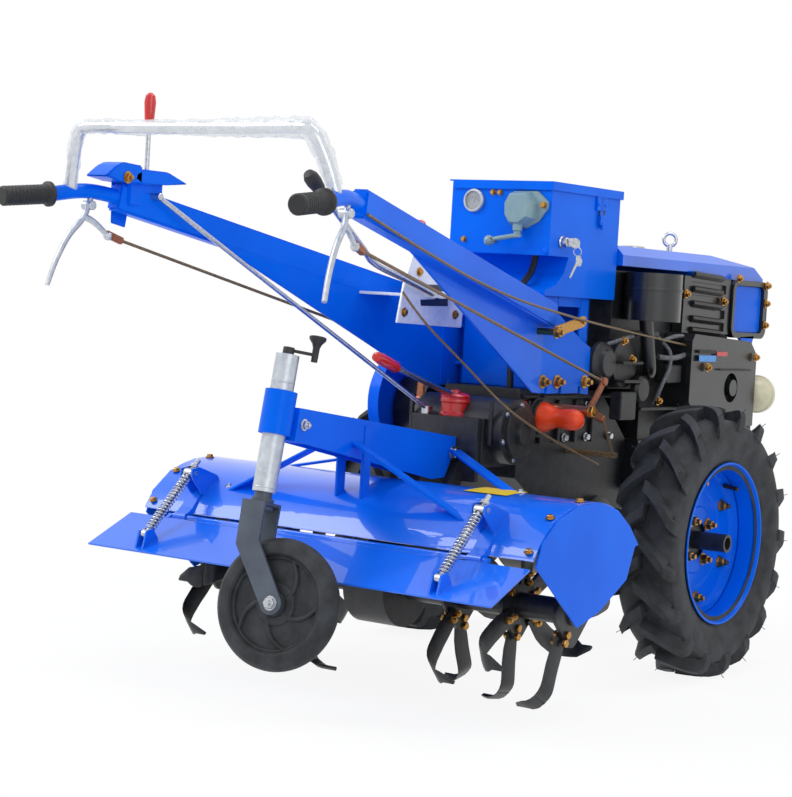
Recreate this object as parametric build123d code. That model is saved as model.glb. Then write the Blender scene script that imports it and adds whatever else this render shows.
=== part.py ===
from build123d import *
import math
import os

os.makedirs("parts", exist_ok=True)

# Two-wheel walking tractor with a bolted-on rotary tiller and tail wheel.
# Millimetres. +X forward, +Y to the machine's left, +Z up, floor at z = 0.
# Places are measured from the wheel axle along X, then moved by axle_x.

# Overall reach
front_reach = 700.0
rear_reach = 1395.0
axle_x = (rear_reach - front_reach) / 2
pin_fit = 0.05

# Driving wheels
tyre_r = 283.0
lug_height = 25.0
tyre_width = 140.0
track_half = 353.0
rim_seat_r = 152.0
rim_flange_r = 170.0
rim_width = 116.0
rim_wall = 5.0
disc_y = track_half - 13.0
disc_wall = 6.0
hub_r = 19.0
hub_end_y = track_half + 63.0
hub_inner_y = track_half - 91.0
hub_flange_r = 98.0
hub_flange_wall = 10.0
lugs_per_side = 17
lug_width = 20.0
lug_sweep_deg = 38.0
axle_z = tyre_r
carcass_r = tyre_r - lug_height
axle_shaft_r = 13.0

# Gearbox and axle housings
gearbox_half = 92.0
gearbox_front = 120.0
gearbox_rear = -330.0
gearbox_top = 582.0
housing_r = 42.0
housing_end_y = track_half - 105.0

# Side drive case, with its round cover, capped shaft end and shift boot
drive_case_x0 = -450.0
drive_case_top = 522.0
drive_case_half = 85.0
round_cover_at = (-372.0, 497.0)
round_cover_r = 66.0
cap_at = (-290.0, 523.0)
cap_r = 26.0
boot_at = (-420.0, 5.0)
boot_r = 30.0

# Chassis rails, bumper and front stand
rail_z = 420.0
rail_height = 50.0
rail_y = 105.0
rail_width = 40.0
rail_front = front_reach - 60.0
front_hole_r = 6.5
front_hole_y = 60.0
bumper_r = 14.0
stand_pivot = (560.0, 396.0)
stand_foot_x = 590.0
stand_r = 12.0
stand_half = 80.0
stand_pin_r = 8.0

# Engine
engine_base = rail_z + rail_height
engine_right = -105.0
engine_left = 150.0
cover_right = -124.0
cover_left = 170.0
cover_low = 850.0
cover_top = 893.0
cover_front = front_reach - 8.0
flywheel_at = (300.0, 600.0)
flywheel_r = 130.0
clutch_pulley_at = (-250.0, 520.0)
clutch_pulley_r = 75.0
belt_outer_y = 225.0
cleaner_at = (75.0, -163.0)
cleaner_r = 62.0
lamp_at = (650.0, -160.0, 574.0)
lamp_r = 58.0
muffler_right = -175.0

# Handles
grip_flange = (-1295.0, 305.0, 900.0)
grip_end = (-1392.0, 325.0, 889.0)
grip_r = 17.5
grip_flange_r = 22.5
handle_tube_r = 13.5
beam_rear = (-1165.0, 274.0, 906.0)
beam_front = (-300.0, 146.0, 730.0)
beam_height = 50.0
beam_depth = 32.0
gusset_y = 118.0
gusset_wall = 6.0
upper_bar_r = 11.0
upper_bar_x = -1238.0
upper_bar_top = 1019.0
upper_bar_half = 287.0

# Control box
box_x0 = -285.0
box_x1 = -4.0
box_right = -112.0
box_left = 133.0
box_floor = 775.0
box_top = 1004.0
box_wall = 3.0
recess_top = 857.0
lid_lip = 14.0
lid_wall = 3.0
lid_pin_r = 3.0
post_x0 = -265.0
post_x1 = -85.0
post_half = 100.0

# Rotary tiller
hood_half = 455.0
rotor_x = -630.0
rotor_z = 195.0
rotor_tip_r = 188.0
rotor_tube_r = 24.0
rotor_end_y = hood_half - 25.0
rotor_flange_r = 62.0
rotor_flange_wall = 8.0
rotor_flange_ys = (175.0, 305.0, hood_half - 35.0)
rotor_bearing_r = 14.0
rotor_gap = 8.0
blades_per_flange = 3
blade_width = 44.0
blade_wall = 8.0
blade_reach = 58.0
blade_bend_r = 40.0
case_r = 78.0
case_half = 48.0
case_lug_half = 26.6

# Tiller hood and its rear flap
hood_wall = 3.0
side_wall = 3.0
flap_half = hood_half + 11.0
flap_wall = 3.0
hinge_x = -851.0
hinge_z = 301.0
hinge_pin_r = 4.0
hinge_knuckle_r = 8.0
hinge_y = hood_half - 110.0
flap_length = 143.0
flap_drop_deg = 24.0

# Flap spring rods
spring_y = hood_half - 114.0
rod_pin = (-956.0, 273.0)
rod_eye = (-837.0, 387.0)
spring_rod_r = 5.0
eye_gap = 1.2
flap_pin_r = 4.0
swivel_pin_r = 5.0

# Tail wheel, its post and beam
post_top = (-981.0, 639.0)
post_foot = (-1028.0, 392.0)
post_r = 21.5
stem_r = 15.95
tail_wheel_r = 119.0
tail_wheel_width = 46.0
tail_trail = 67.0
tail_axle_drop = 194.0
tail_axle_r = 7.0
tail_swivel_deg = 101.0
fork_wall = 6.0
fork_width = 46.0
beam_half = 30.0
beam_wall = 3.4

parts = {}


def keep(name, shape):
    parts[name] = shape


def span(x0, x1, y0, y1, z0, z1):
    body = Box(x1 - x0, y1 - y0, z1 - z0)
    return Pos((x0 + x1) / 2, (y0 + y1) / 2, (z0 + z1) / 2) * body


def rod(start, end, radius):
    a = Vector(*start)
    b = Vector(*end)
    plane = Plane(origin=a, z_dir=b - a)
    return extrude(plane * Circle(radius), (b - a).length)


def pipe(points, radius, bends):
    path = FilletPolyline(*points, radius=bends)
    plane = Plane(origin=path @ 0, z_dir=path % 0)
    return sweep(plane * Circle(radius), path=path)


def cross_rod(x, z, y0, y1, radius):
    return rod((x, y0, z), (x, y1, z), radius)


def side_plate(outline, y0, y1):
    # An outline in (x, z), given a thickness from y0 to y1.
    points = [(x, -z) for x, z in outline]
    plane = Plane(origin=(0, y0, 0), x_dir=(1, 0, 0), z_dir=(0, 1, 0))
    return extrude(plane * make_face(Polyline(*points, close=True)), y1 - y0)


def spin_profile(points, y_centre, x, z):
    # A closed outline in (radius, y), turned about the line through (x, z) along Y.
    face = make_face(Polyline(*[(r, y) for r, y in points], close=True))
    return Pos(x, y_centre, z) * revolve(face, Axis.Y)


def mirrored(shape):
    return mirror(shape, Plane.XZ)


def both(shape):
    return shape + mirrored(shape)


# Driving wheel, drawn for the left side about its own centre


def lug(side, index):
    # One tread bar: a tapered block from the tyre's middle to its shoulder, leading edge in the middle.
    inner = carcass_r - 8.0
    root = Vector(0.0, side * -6.0)
    tip = Vector(-math.sin(math.radians(lug_sweep_deg)) * 78.0, side * (tyre_width / 2 - 3.0))
    way = tip - root
    middle = (root + tip) / 2
    plane = Plane(origin=(middle.X, middle.Y, inner), x_dir=(way.X, way.Y, 0), z_dir=(0, 0, 1))
    bar = extrude(plane * Rectangle(way.length, lug_width), tyre_r + 6.0 - inner, taper=6)
    turn = (index + (0.5 if side > 0 else 0.0)) * 360.0 / lugs_per_side
    return Rot(0, turn, 0) * bar


def tyre():
    half = tyre_width / 2
    bead = rim_width / 2 - rim_wall - 1.0
    edge = carcass_r - 10.0
    with BuildSketch(Plane.XY) as section:
        with BuildLine():
            Polyline((rim_seat_r, -bead), (rim_seat_r, bead), (rim_flange_r + 2.0, bead))
            Spline((rim_flange_r + 2.0, bead), (rim_seat_r + 55.0, half), (edge, half - 8.0))
            Polyline((edge, half - 8.0), (carcass_r, half - 30.0), (carcass_r, 30.0 - half), (edge, 8.0 - half))
            Spline((edge, 8.0 - half), (rim_seat_r + 55.0, -half), (rim_flange_r + 2.0, -bead))
            Line((rim_flange_r + 2.0, -bead), (rim_seat_r, -bead))
        make_face()
    body = revolve(section.sketch, Axis.Y)
    bars = [lug(side, i) for side in (1, -1) for i in range(lugs_per_side)]
    limit = Rot(90, 0, 0) * Cylinder(tyre_r, tyre_width)
    return body + [bar & limit for bar in bars]


def rim():
    half = rim_width / 2
    seat = rim_seat_r - 0.3
    well = seat - 16.0
    outline = [
        (rim_flange_r, -half), (rim_flange_r, -half + rim_wall), (seat, -half + rim_wall),
        (seat, -half + 26.0), (well, -half + 34.0), (well, half - 34.0), (seat, half - 26.0),
        (seat, half - rim_wall), (rim_flange_r, half - rim_wall), (rim_flange_r, half),
        (seat - rim_wall, half), (seat - rim_wall, half - 24.0), (well - rim_wall, half - 32.0),
        (well - rim_wall, -half + 32.0), (seat - rim_wall, -half + 24.0), (seat - rim_wall, -half),
    ]
    face_y = disc_y - track_half + disc_wall / 2
    dish = 10.0
    hole = hub_r + 14.0
    disc = spin_profile([
        (hole, face_y), (100.0, face_y), (118.0, face_y - dish), (well - rim_wall, face_y - dish),
        (well - rim_wall, face_y - dish - disc_wall), (115.0, face_y - dish - disc_wall),
        (98.0, face_y - disc_wall), (hole, face_y - disc_wall)], 0, 0, 0)
    return spin_profile(outline, 0, 0, 0) + disc


def hub():
    # Axle shaft, hub sleeve, flange behind the disc and the open tube end.
    shaft_start = gearbox_half + 1.0 - track_half
    start = hub_inner_y - track_half
    end = hub_end_y - track_half
    face = disc_y - track_half - disc_wall / 2
    sleeve_r = hub_r + 8.0
    bore_depth = 22.0
    return spin_profile([
        (0, shaft_start), (axle_shaft_r, shaft_start), (axle_shaft_r, start), (sleeve_r, start),
        (sleeve_r, face - hub_flange_wall), (hub_flange_r, face - hub_flange_wall), (hub_flange_r, face),
        (hub_r, face), (hub_r, end), (axle_shaft_r, end), (axle_shaft_r, end - bore_depth),
        (0, end - bore_depth)], 0, 0, 0)


for name, make in (("tyre", tyre), ("rim", rim), ("hub", hub)):
    left = Pos(0, track_half, axle_z) * make()
    keep(name + "_left", left)
    keep(name + "_right", mirrored(left))

# Gearbox with its axle housings


def axle_housing():
    bore = axle_shaft_r + pin_fit
    return spin_profile([
        (bore, gearbox_half - 1.0), (housing_r + 26.0, gearbox_half - 1.0), (housing_r + 26.0, gearbox_half + 12.0),
        (housing_r + 6.0, gearbox_half + 18.0), (housing_r, housing_end_y - 20.0),
        (housing_r + 8.0, housing_end_y - 18.0), (housing_r + 8.0, housing_end_y), (bore, housing_end_y)],
        0, 0, axle_z)


gearbox = cross_rod(0, axle_z, -gearbox_half, gearbox_half, 118.0)
gearbox += side_plate([(gearbox_rear, 400.0), (-90.0, 250.0), (gearbox_front, 250.0), (gearbox_front, 470.0),
                       (0.0, 578.0), (gearbox_rear, gearbox_top)], -gearbox_half, gearbox_half)
keep("gearbox", gearbox + both(axle_housing()))

# Side drive case behind the gearbox, with its round covers and the capped shaft end
drive_case = span(drive_case_x0, gearbox_rear, -drive_case_half, drive_case_half, 425.0, drive_case_top)
for reach, radius in ((118.0, round_cover_r), (128.0, round_cover_r - 14.0)):
    drive_case += cross_rod(round_cover_at[0], round_cover_at[1], -reach, 100.0, radius)
keep("side_drive_case", drive_case - gearbox)
cap_start = -gearbox_half
keep("shaft_cap", cross_rod(cap_at[0], cap_at[1], cap_start - 88.0, cap_start, cap_r - 5.0)
     + cross_rod(cap_at[0], cap_at[1], cap_start - 50.0, cap_start, cap_r)
     - parts["side_drive_case"])
boot = Pos(boot_at[0], boot_at[1], drive_case_top + 12.0) * Cylinder(boot_r, 24.0)
boot += Pos(boot_at[0], boot_at[1], drive_case_top + 27.0) * Cone(boot_r - 6.0, 10.0, 12.0)
keep("shift_boot", boot - parts["side_drive_case"])

# Chassis rails, bumper and front stand
rail_in = rail_y - rail_width / 2
rail_out = rail_y + rail_width / 2
rail_top = rail_z + rail_height
chassis = both(span(gearbox_front, rail_front, rail_in, rail_out, rail_z, rail_top))
chassis += span(rail_front - 30.0, rail_front, -rail_out, rail_out, rail_z, rail_top)
chassis += span(gearbox_front, gearbox_front + 14.0, -rail_out, rail_out, rail_z - 60.0, rail_top)
ear = span(stand_pivot[0] - 25.0, stand_pivot[0] + 25.0, rail_y - 8.0, rail_y + 8.0, 380.0, rail_z)
chassis += both(ear)
chassis -= cross_rod(stand_pivot[0], stand_pivot[1], -rail_out, rail_out, stand_pin_r + pin_fit)
for y in (-front_hole_y, front_hole_y):
    chassis -= rod((rail_front - 40.0, y, 445.0), (rail_front + 10.0, y, 445.0), front_hole_r)
keep("chassis_frame", chassis)
bumper_x = front_reach - bumper_r
bumper_top = 545.0
bumper = pipe([(rail_front, rail_y, 445.0), (bumper_x, rail_y, 445.0), (bumper_x, rail_y, bumper_top),
               (bumper_x, -rail_y, bumper_top), (bumper_x, -rail_y, 445.0), (rail_front, -rail_y, 445.0)],
              bumper_r, 30.0)
keep("front_bumper", bumper)
stand = pipe([(stand_pivot[0], stand_half, stand_pivot[1]), (stand_foot_x, stand_half, stand_r),
              (stand_foot_x, -stand_half, stand_r), (stand_pivot[0], -stand_half, stand_pivot[1])], stand_r, 40.0)
keep("front_stand", stand + cross_rod(stand_pivot[0], stand_pivot[1], -120.0, 120.0, stand_pin_r))

# Engine: a plain block inside, and the covers that show
block = span(150.0, 600.0, engine_right, engine_left, engine_base, 700.0)
block += span(10.0, 470.0, engine_right + 5.0, engine_left - 10.0, 583.0, 840.0)
block += span(470.0, 560.0, engine_right, engine_left, 700.0, 840.0)
block += cross_rod(20.0, 640.0, -135.0, engine_right + 10.0, 52.0)
keep("engine_block", block)
cover_side = [(box_x1 + 6.0, cover_low), (box_x1 + 6.0, 886.0), (14.0, cover_top), (450.0, cover_top), (rail_front, 874.0),
              (cover_front, 848.0), (cover_front, 841.0), (330.0, 841.0), (324.0, cover_low)]
cover = side_plate(cover_side, cover_right, cover_left)
bevel = 20.0
front_view = Polyline((cover_right, 840.0), (cover_left, 840.0), (cover_left, cover_top - bevel),
                      (cover_left - bevel, cover_top), (cover_right + bevel, cover_top),
                      (cover_right, cover_top - bevel), close=True)
cover &= extrude(Plane.YZ * make_face(front_view), 720.0)
keep("engine_cover", cover - block)
grille_x0 = 280.0
grille_x1 = 512.0
grille = span(grille_x0, grille_x1, -130.0, engine_right - 0.2, 712.0, 841.0)
for row in range(4):
    low = 722.0 + 29.0 * row
    slot = side_plate([(grille_x0 + 34.0, low), (grille_x1 - 24.0, low - 4.0), (grille_x1 - 24.0, low + 16.0),
                       (grille_x0 + 34.0, low + 20.0)], -131.0, -124.0)
    grille -= slot
keep("side_grille", grille - cover)
radiator_x1 = front_reach - 10.0
radiator = span(560.0, radiator_x1, -118.0, 150.0, 717.0, 841.0)
keep("radiator", fillet(radiator.edges().filter_by(Axis.Y), 14.0))
ring = fillet(span(516.0, front_reach, -136.0, -118.2, 705.0, 841.0).edges().filter_by(Axis.Y), 26.0)
ring_hole = fillet(span(528.0, front_reach - 20.0, -140.0, -110.0, 718.0, 829.0).edges().filter_by(Axis.Y), 14.0)
keep("front_guard", ring - ring_hole)
panel = fillet(span(529.0, front_reach - 21.0, -128.0, -118.2, 719.0, 828.0).edges().filter_by(Axis.Y), 14.0)
keep("side_panel", panel)
muffler = side_plate([(250.0, 560.0), (250.0, 695.0), (262.0, 711.0), (545.0, 698.0), (580.0, 668.0), (580.0, 500.0),
                      (300.0, 500.0)], muffler_right, engine_right - 0.2)
outlet_at = (455.0, 590.0)
muffler -= cross_rod(outlet_at[0], outlet_at[1], muffler_right - 1.0, muffler_right + 20.0, 34.0)
muffler += cross_rod(outlet_at[0], outlet_at[1], muffler_right - 6.0, muffler_right + 25.0, 19.0)
keep("muffler_box", muffler)
cleaner = rod((cleaner_at[0], cleaner_at[1], 735.0), (cleaner_at[0], cleaner_at[1], 838.0), cleaner_r)
cleaner += rod((cleaner_at[0], cleaner_at[1], 800.0), (cleaner_at[0], cleaner_at[1], 806.0), cleaner_r + 2.0)
cleaner += pipe([(cleaner_at[0], cleaner_at[1] + 14.0, 740.0), (105.0, -150.0, 625.0), (160.0, -110.0, 600.0)],
                15.0, 25.0)
keep("air_cleaner", cleaner - cover - block)
lamp = rod((lamp_at[0] - 40.0, lamp_at[1], lamp_at[2]), (lamp_at[0], lamp_at[1], lamp_at[2]), lamp_r - 16.0)
lamp += rod((lamp_at[0] - 14.0, lamp_at[1], lamp_at[2]), (lamp_at[0] + 8.0, lamp_at[1], lamp_at[2]), lamp_r)
lamp += span(580.0, 620.0, lamp_at[1] - 12.0, lamp_at[1] + 12.0, lamp_at[2] - 10.0, lamp_at[2] + 10.0)
keep("headlamp", lamp - muffler)
pulleys = cross_rod(flywheel_at[0], flywheel_at[1], engine_left + 0.2, belt_outer_y, flywheel_r)
clutch_pulley = cross_rod(clutch_pulley_at[0], clutch_pulley_at[1], 151.0, belt_outer_y, clutch_pulley_r)
clutch_pulley += cross_rod(clutch_pulley_at[0], clutch_pulley_at[1], gearbox_half + 0.2, 151.0, 16.0)
keep("drive_pulleys", pulleys + clutch_pulley)
guard = side_plate([(-330.0, 470.0), (-352.0, 540.0), (-320.0, 610.0), (-250.0, 645.0), (100.0, 655.0),
                    (200.0, 760.0), (400.0, 760.0), (450.0, 650.0), (450.0, 470.0)], 232.0, 235.0)
guard += cross_rod(-160.0, 560.0, gearbox_half + 0.2, 232.0, 8.0)
guard += cross_rod(420.0, 650.0, engine_left + 0.2, 232.0, 8.0) - parts["drive_pulleys"]
keep("belt_guard", guard - parts["drive_pulleys"])

# Handle bracket: an upright post and two gussets on the gearbox
gusset_outline = [(-590.0, 775.0), (-330.0, 583.0), (-112.0, 583.0), (-112.0, 773.0), (-400.0, 773.0),
                  (-560.0, 812.0)]
gusset = side_plate(gusset_outline, gusset_y, gusset_y + gusset_wall)
gusset += span(-330.0, post_x1, gearbox_half - 12.0, gusset_y + gusset_wall, gearbox_top, gearbox_top + 6.0)
post = span(post_x0, post_x1, -post_half, post_half, gearbox_top, box_floor)
post -= span(post_x0 + 6.0, post_x1 - 6.0, -post_half + 6.0, post_half - 6.0, gearbox_top, box_floor)
post -= span(post_x0 + 50.0, post_x1 - 40.0, -post_half - 1.0, post_half + 1.0, 640.0, box_floor - 20.0)
bracket = post + both(gusset)
for z in (620.0, 740.0):
    bracket += both(span(post_x0 + 4.0, post_x0 + 44.0, post_half - 6.0, gusset_y + 1.0, z, z + 8.0))
keep("handle_bracket", bracket)


def handle_beam():
    rear = Vector(*beam_rear)
    line = Vector(*beam_front) - rear
    plane = Plane(origin=rear, x_dir=Vector(0, 0, 1).cross(line), z_dir=line)
    beam = extrude(plane * Rectangle(beam_depth, beam_height), line.length)
    tube = pipe([(grip_flange[0] + 1.0, grip_flange[1], grip_flange[2]),
                 (beam_rear[0] - 60.0, beam_rear[1] + 16.0, beam_rear[2] + 5.0), beam_rear], handle_tube_r, 60.0)
    return beam + tube


left_beam = handle_beam() - gusset
keep("handle_beams", both(left_beam))
grip = rod(grip_flange, grip_end, grip_r)
grip += rod(grip_flange, tuple(Vector(*grip_flange) * 0.92 + Vector(*grip_end) * 0.08), grip_flange_r)
keep("grips", both(grip - left_beam))
bar_foot_z = 912.0
upper_bar = pipe([(upper_bar_x, upper_bar_half, bar_foot_z), (upper_bar_x, upper_bar_half, upper_bar_top),
                  (upper_bar_x, -upper_bar_half, upper_bar_top), (upper_bar_x, -upper_bar_half, bar_foot_z)],
                 upper_bar_r, 45.0)
keep("upper_bar", upper_bar - parts["handle_beams"])

# Control box with its recessed lower back, lid and instruments
box_side = [(box_x0, box_top), (box_x0, recess_top), (-205.0, recess_top), (-222.0, 822.0), (-250.0, 798.0),
            (-292.0, 786.0), (-292.0, box_floor), (box_x1, box_floor), (box_x1, box_top)]
inner_side = [(box_x0 + box_wall, box_top + 1.0), (box_x0 + box_wall, recess_top + box_wall),
              (-202.0, recess_top + box_wall), (-220.0, 820.0), (-246.0, 796.0), (-262.0, box_floor + 9.0),
              (-262.0, box_floor + box_wall), (box_x1 - box_wall, box_floor + box_wall),
              (box_x1 - box_wall, box_top + 1.0)]
lid_hinge_y = box_left + 9.0
lid_hinge_z = box_top - 6.0
knuckle_r = 6.0
box = side_plate(box_side, box_right, box_left)
box -= side_plate(inner_side, box_right + box_wall, box_left - box_wall)
hinge_bore = rod((box_x0, lid_hinge_y, lid_hinge_z), (box_x1, lid_hinge_y, lid_hinge_z), lid_pin_r + pin_fit)
for x in (box_x0 + 40.0, box_x1 - 80.0):
    knuckle = rod((x, lid_hinge_y, lid_hinge_z), (x + 40.0, lid_hinge_y, lid_hinge_z), knuckle_r)
    leaf = span(x, x + 40.0, box_left, lid_hinge_y, lid_hinge_z - 20.0, lid_hinge_z)
    box += (knuckle + leaf) - hinge_bore
keep("control_box", box)
rim_out = 5.0
rim_in = rim_out - lid_wall
lid_base = box_top + 1.0
lid = span(box_x0 - rim_out, box_x1 + rim_out, box_right - rim_out, box_left + rim_out, lid_base, lid_base + lid_wall)
skirt = span(box_x0 - rim_out, box_x1 + rim_out, box_right - rim_out, box_left - rim_out, box_top - lid_lip, lid_base)
skirt -= span(box_x0 - rim_in, box_x1 + rim_in, box_right - rim_in, box_left, box_top - lid_lip - 1.0, lid_base)
arm = span(box_x0 + 100.0, box_x1 - 100.0, box_left + 2.0, lid_hinge_y + knuckle_r, lid_base, lid_base + lid_wall)
arm += span(box_x0 + 100.0, box_x1 - 100.0, lid_hinge_y - 4.0, lid_hinge_y + knuckle_r, lid_hinge_z - knuckle_r,
            lid_base + lid_wall)
lid_pin = rod((box_x0 + 38.0, lid_hinge_y, lid_hinge_z), (box_x1 - 38.0, lid_hinge_y, lid_hinge_z), lid_pin_r)
keep("box_lid", lid + skirt + arm + lid_pin)
dial = rod((box_x0 - 8.0, 79.0, 961.0), (box_x0, 79.0, 961.0), 27.0)
casting = side_plate([(box_x0 - 34.0, 980.0), (box_x0, 988.0), (box_x0, 930.0), (box_x0 - 34.0, 940.0)], -92.0, -36.0)
casting += rod((box_x0 - 22.0, -52.0, 936.0), (box_x0 - 22.0, -52.0, 914.0), 9.0)
casting += rod((box_x0 - 22.0, -52.0, 916.0), (box_x0 - 34.0, 30.0, 886.0), 4.0)
casting += Pos(box_x0 - 35.0, 36.0, 884.0) * Sphere(11.0)
lock = rod((-256.0, box_right, 872.0), (-256.0, box_right - 14.0, 872.0), 12.0)
keep("box_dials", dial + casting + lock)

# Rotary tiller case and rotor
case = cross_rod(rotor_x, rotor_z, -case_half, case_half, case_r)
case += side_plate([(rotor_x - 70.0, rotor_z + 30.0), (rotor_x + 74.0, rotor_z - 20.0), (-451.0, 400.0),
                    (-451.0, 440.0), (-462.0, 440.0), (-505.0, 385.0)], -case_half + 4.0, case_half - 4.0)
case += side_plate([(-600.0, 330.0), (-451.0, 400.0), (-451.0, 455.0), (-470.0, 462.0), (-560.0, 440.0)],
                   -case_lug_half, case_lug_half)
case += span(drive_case_x0 - 12.0, drive_case_x0, -80.0, 80.0, 395.0, drive_case_top)
keep("tiller_case", case - cross_rod(rotor_x, rotor_z, -100.0, 100.0, rotor_bearing_r + pin_fit))


def rotor_half():
    bars = cross_rod(rotor_x, rotor_z, case_half + rotor_gap, rotor_end_y, rotor_tube_r)
    for y in rotor_flange_ys:
        bars += cross_rod(rotor_x, rotor_z, y - rotor_flange_wall / 2, y + rotor_flange_wall / 2, rotor_flange_r)
    return bars


middle = cross_rod(rotor_x, rotor_z, -case_half - rotor_gap, case_half + rotor_gap, rotor_bearing_r)
keep("rotor_shaft", both(rotor_half()) + middle)


def blade(flange_y, bend, turn):
    # A curved blade: a flat shank on the flange, bent over to the side at its tip.
    root_r = rotor_flange_r - 22.0
    y0 = flange_y + bend * (rotor_flange_wall + blade_wall) / 2
    tip_r = math.sqrt(rotor_tip_r ** 2 - (blade_width / 2) ** 2) - blade_wall / 2
    path = FilletPolyline((0, y0, root_r), (0, y0, tip_r), (0, y0 + bend * blade_reach, tip_r), radius=blade_bend_r)
    plane = Plane(origin=path @ 0, x_dir=(1, 0, 0), z_dir=path % 0)
    strip = sweep(plane * Rectangle(blade_width, blade_wall), path=path)
    return Pos(rotor_x, 0, rotor_z) * (Rot(0, turn, 0) * strip)


blades = []
step = 360.0 / (2 * blades_per_flange)
for side in (1, -1):
    for i, y in enumerate(rotor_flange_ys):
        outermost = i == len(rotor_flange_ys) - 1
        for k in range(2 * blades_per_flange):
            bend = 1 if k % 2 == 0 and not outermost else -1
            if outermost and k % 2 == 0:
                continue
            blades.append(blade(side * y, side * bend, step * k + 20.0 * i + 12.0 * side))
keep("tines", Part() + blades)

# Hood: one bent sheet with a mouth for the case, its brackets, end plates and flap
hood_points = [(-463.0, 315.0), (-500.0, 352.0), (-550.0, 385.0), (-615.0, 402.0), (-690.0, 400.0),
               (-762.0, 378.0), (-812.0, 340.0), (-836.0, 308.0)]
flat_plane = Plane(origin=(0, 0, 0), x_dir=(1, 0, 0), z_dir=(0, 1, 0))
hood_line = Spline(*[(x, -z) for x, z in hood_points])


def hood_sheet():
    inner_points = []
    for x, z in hood_points:
        where = hood_line.param_at_point(Vector(x, -z))
        near = hood_line.position_at(where)
        way = hood_line.tangent_at(where)
        inner_points.append((near.X + way.Y * hood_wall, near.Y - way.X * hood_wall))
    inner = Spline(*inner_points)
    ends = [Line(hood_line @ 0, inner @ 0), Line(hood_line @ 1, inner @ 1)]
    face = flat_plane * make_face([hood_line, inner] + ends)
    return Pos(0, -hood_half, 0) * extrude(face, 2 * hood_half)


def under_hood():
    # All the room below the hood's outer face.
    front, back = hood_line @ 0, hood_line @ 1
    low = Polyline((front.X, front.Y), (front.X, 0.0), (back.X, 0.0), (back.X, back.Y))
    return Pos(0, -hood_half, 0) * extrude(flat_plane * make_face([hood_line, low]), 2 * hood_half)


hood = hood_sheet()
hood_room = under_hood()
hood -= span(-552.0, -440.0, -90.0, 90.0, 280.0, 520.0)
hinge_strap = side_plate([(hinge_x, hinge_z + 7.0), (-836.0, 319.0), (-809.0, 350.0), (-803.0, 345.0),
                          (-832.0, 306.0), (hinge_x, hinge_z - 7.0)], hinge_y - 15.0, hinge_y + 15.0)
knuckle = cross_rod(hinge_x, hinge_z, hinge_y - 15.0, hinge_y + 15.0, hinge_knuckle_r) + hinge_strap
hinge_pin_room = cross_rod(hinge_x, hinge_z, hinge_y - 40.0, hinge_y + 40.0, hinge_pin_r + pin_fit)
eye_ears = []
for y in (spring_y - 16.0, spring_y + 12.0):
    eye_ears.append(side_plate([(-848.0, 380.0), (-848.0, 396.0), (-826.0, 399.0), (-772.0, 382.0), (-766.0, 375.0),
                                (-810.0, 341.0)], y, y + 4.0))
ears = eye_ears[0] + eye_ears[1]
ears -= cross_rod(rod_eye[0], rod_eye[1], spring_y - 30.0, spring_y + 30.0, swivel_pin_r + pin_fit)
hood += both(knuckle - hinge_pin_room) + both(ears)
keep("hood", hood - parts["tiller_case"])
fan = hood_points[::-1] + [(-476.0, 312.0), (-501.0, 251.0), (-596.0, 199.0), (-673.0, 176.0), (-829.0, 297.0)]
end_plate = side_plate(fan[1:], hood_half, hood_half + side_wall)
keep("side_plates", both(end_plate))
slope = math.radians(flap_drop_deg)
flap_tip = (hinge_x - flap_length * math.cos(slope), hinge_z - flap_length * math.sin(slope))
board = side_plate([(hinge_x - 12.0, hinge_z - 3.5), flap_tip, (flap_tip[0] + 1.2, flap_tip[1] - flap_wall),
                    (hinge_x - 10.5, hinge_z - 3.5 - flap_wall)], -flap_half, flap_half)
pin_half = hinge_y + 30.0
curl = side_plate([(hinge_x - 13, hinge_z - 3.0), (hinge_x, hinge_z + 3.5), (hinge_x, hinge_z - 3.5),
                   (hinge_x - 12, hinge_z - 7.0)], -hinge_y + 45.0, hinge_y - 45.0)
end_curl = side_plate([(hinge_x - 13, hinge_z - 3.0), (hinge_x, hinge_z + 3.5), (hinge_x, hinge_z - 3.5),
                       (hinge_x - 12, hinge_z - 7.0)], hinge_y + 22.0, pin_half)
flap = board + cross_rod(hinge_x, hinge_z, -pin_half, pin_half, hinge_pin_r) + curl + both(end_curl)
lug_ears = []
for y in (spring_y - 11.0, spring_y + 7.0):
    lug_ears.append(side_plate([(-966.0, 280.0), (-948.0, 284.0), (-930.0, 262.0), (-975.0, 244.0)], y, y + 4.0))
pin_lugs = lug_ears[0] + lug_ears[1]
pin_lugs += cross_rod(rod_pin[0], rod_pin[1], spring_y - 11.0, spring_y + 11.0, flap_pin_r)
keep("rear_flap", flap + both(pin_lugs))

# Flap spring rods: pinned to the flap, sliding through a turning eye on the hood
rod_way = Vector(rod_eye[0] - rod_pin[0], 0, rod_eye[1] - rod_pin[1]).normalized()
rod_start = Vector(rod_pin[0], spring_y, rod_pin[1])
eye_at = Vector(rod_eye[0], spring_y, rod_eye[1])
spring_rod = cross_rod(rod_pin[0], rod_pin[1], spring_y - 6.0, spring_y + 6.0, 9.0)
spring_rod += rod(tuple(rod_start), tuple(eye_at + rod_way * 34.0), spring_rod_r)
spring_rod += rod(tuple(eye_at + rod_way * 11.0), tuple(eye_at + rod_way * 19.0), 9.0)
spring_rod -= cross_rod(rod_pin[0], rod_pin[1], spring_y - 20.0, spring_y + 20.0, flap_pin_r + pin_fit)
keep("spring_rods", both(spring_rod))
barrel = cross_rod(rod_eye[0], rod_eye[1], spring_y - 10.0, spring_y + 10.0, 9.0)
barrel += cross_rod(rod_eye[0], rod_eye[1], spring_y - 17.0, spring_y + 17.0, swivel_pin_r)
barrel -= rod(tuple(eye_at - rod_way * 20.0), tuple(eye_at + rod_way * 20.0), spring_rod_r + eye_gap)
keep("rod_swivels", both(barrel))

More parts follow.
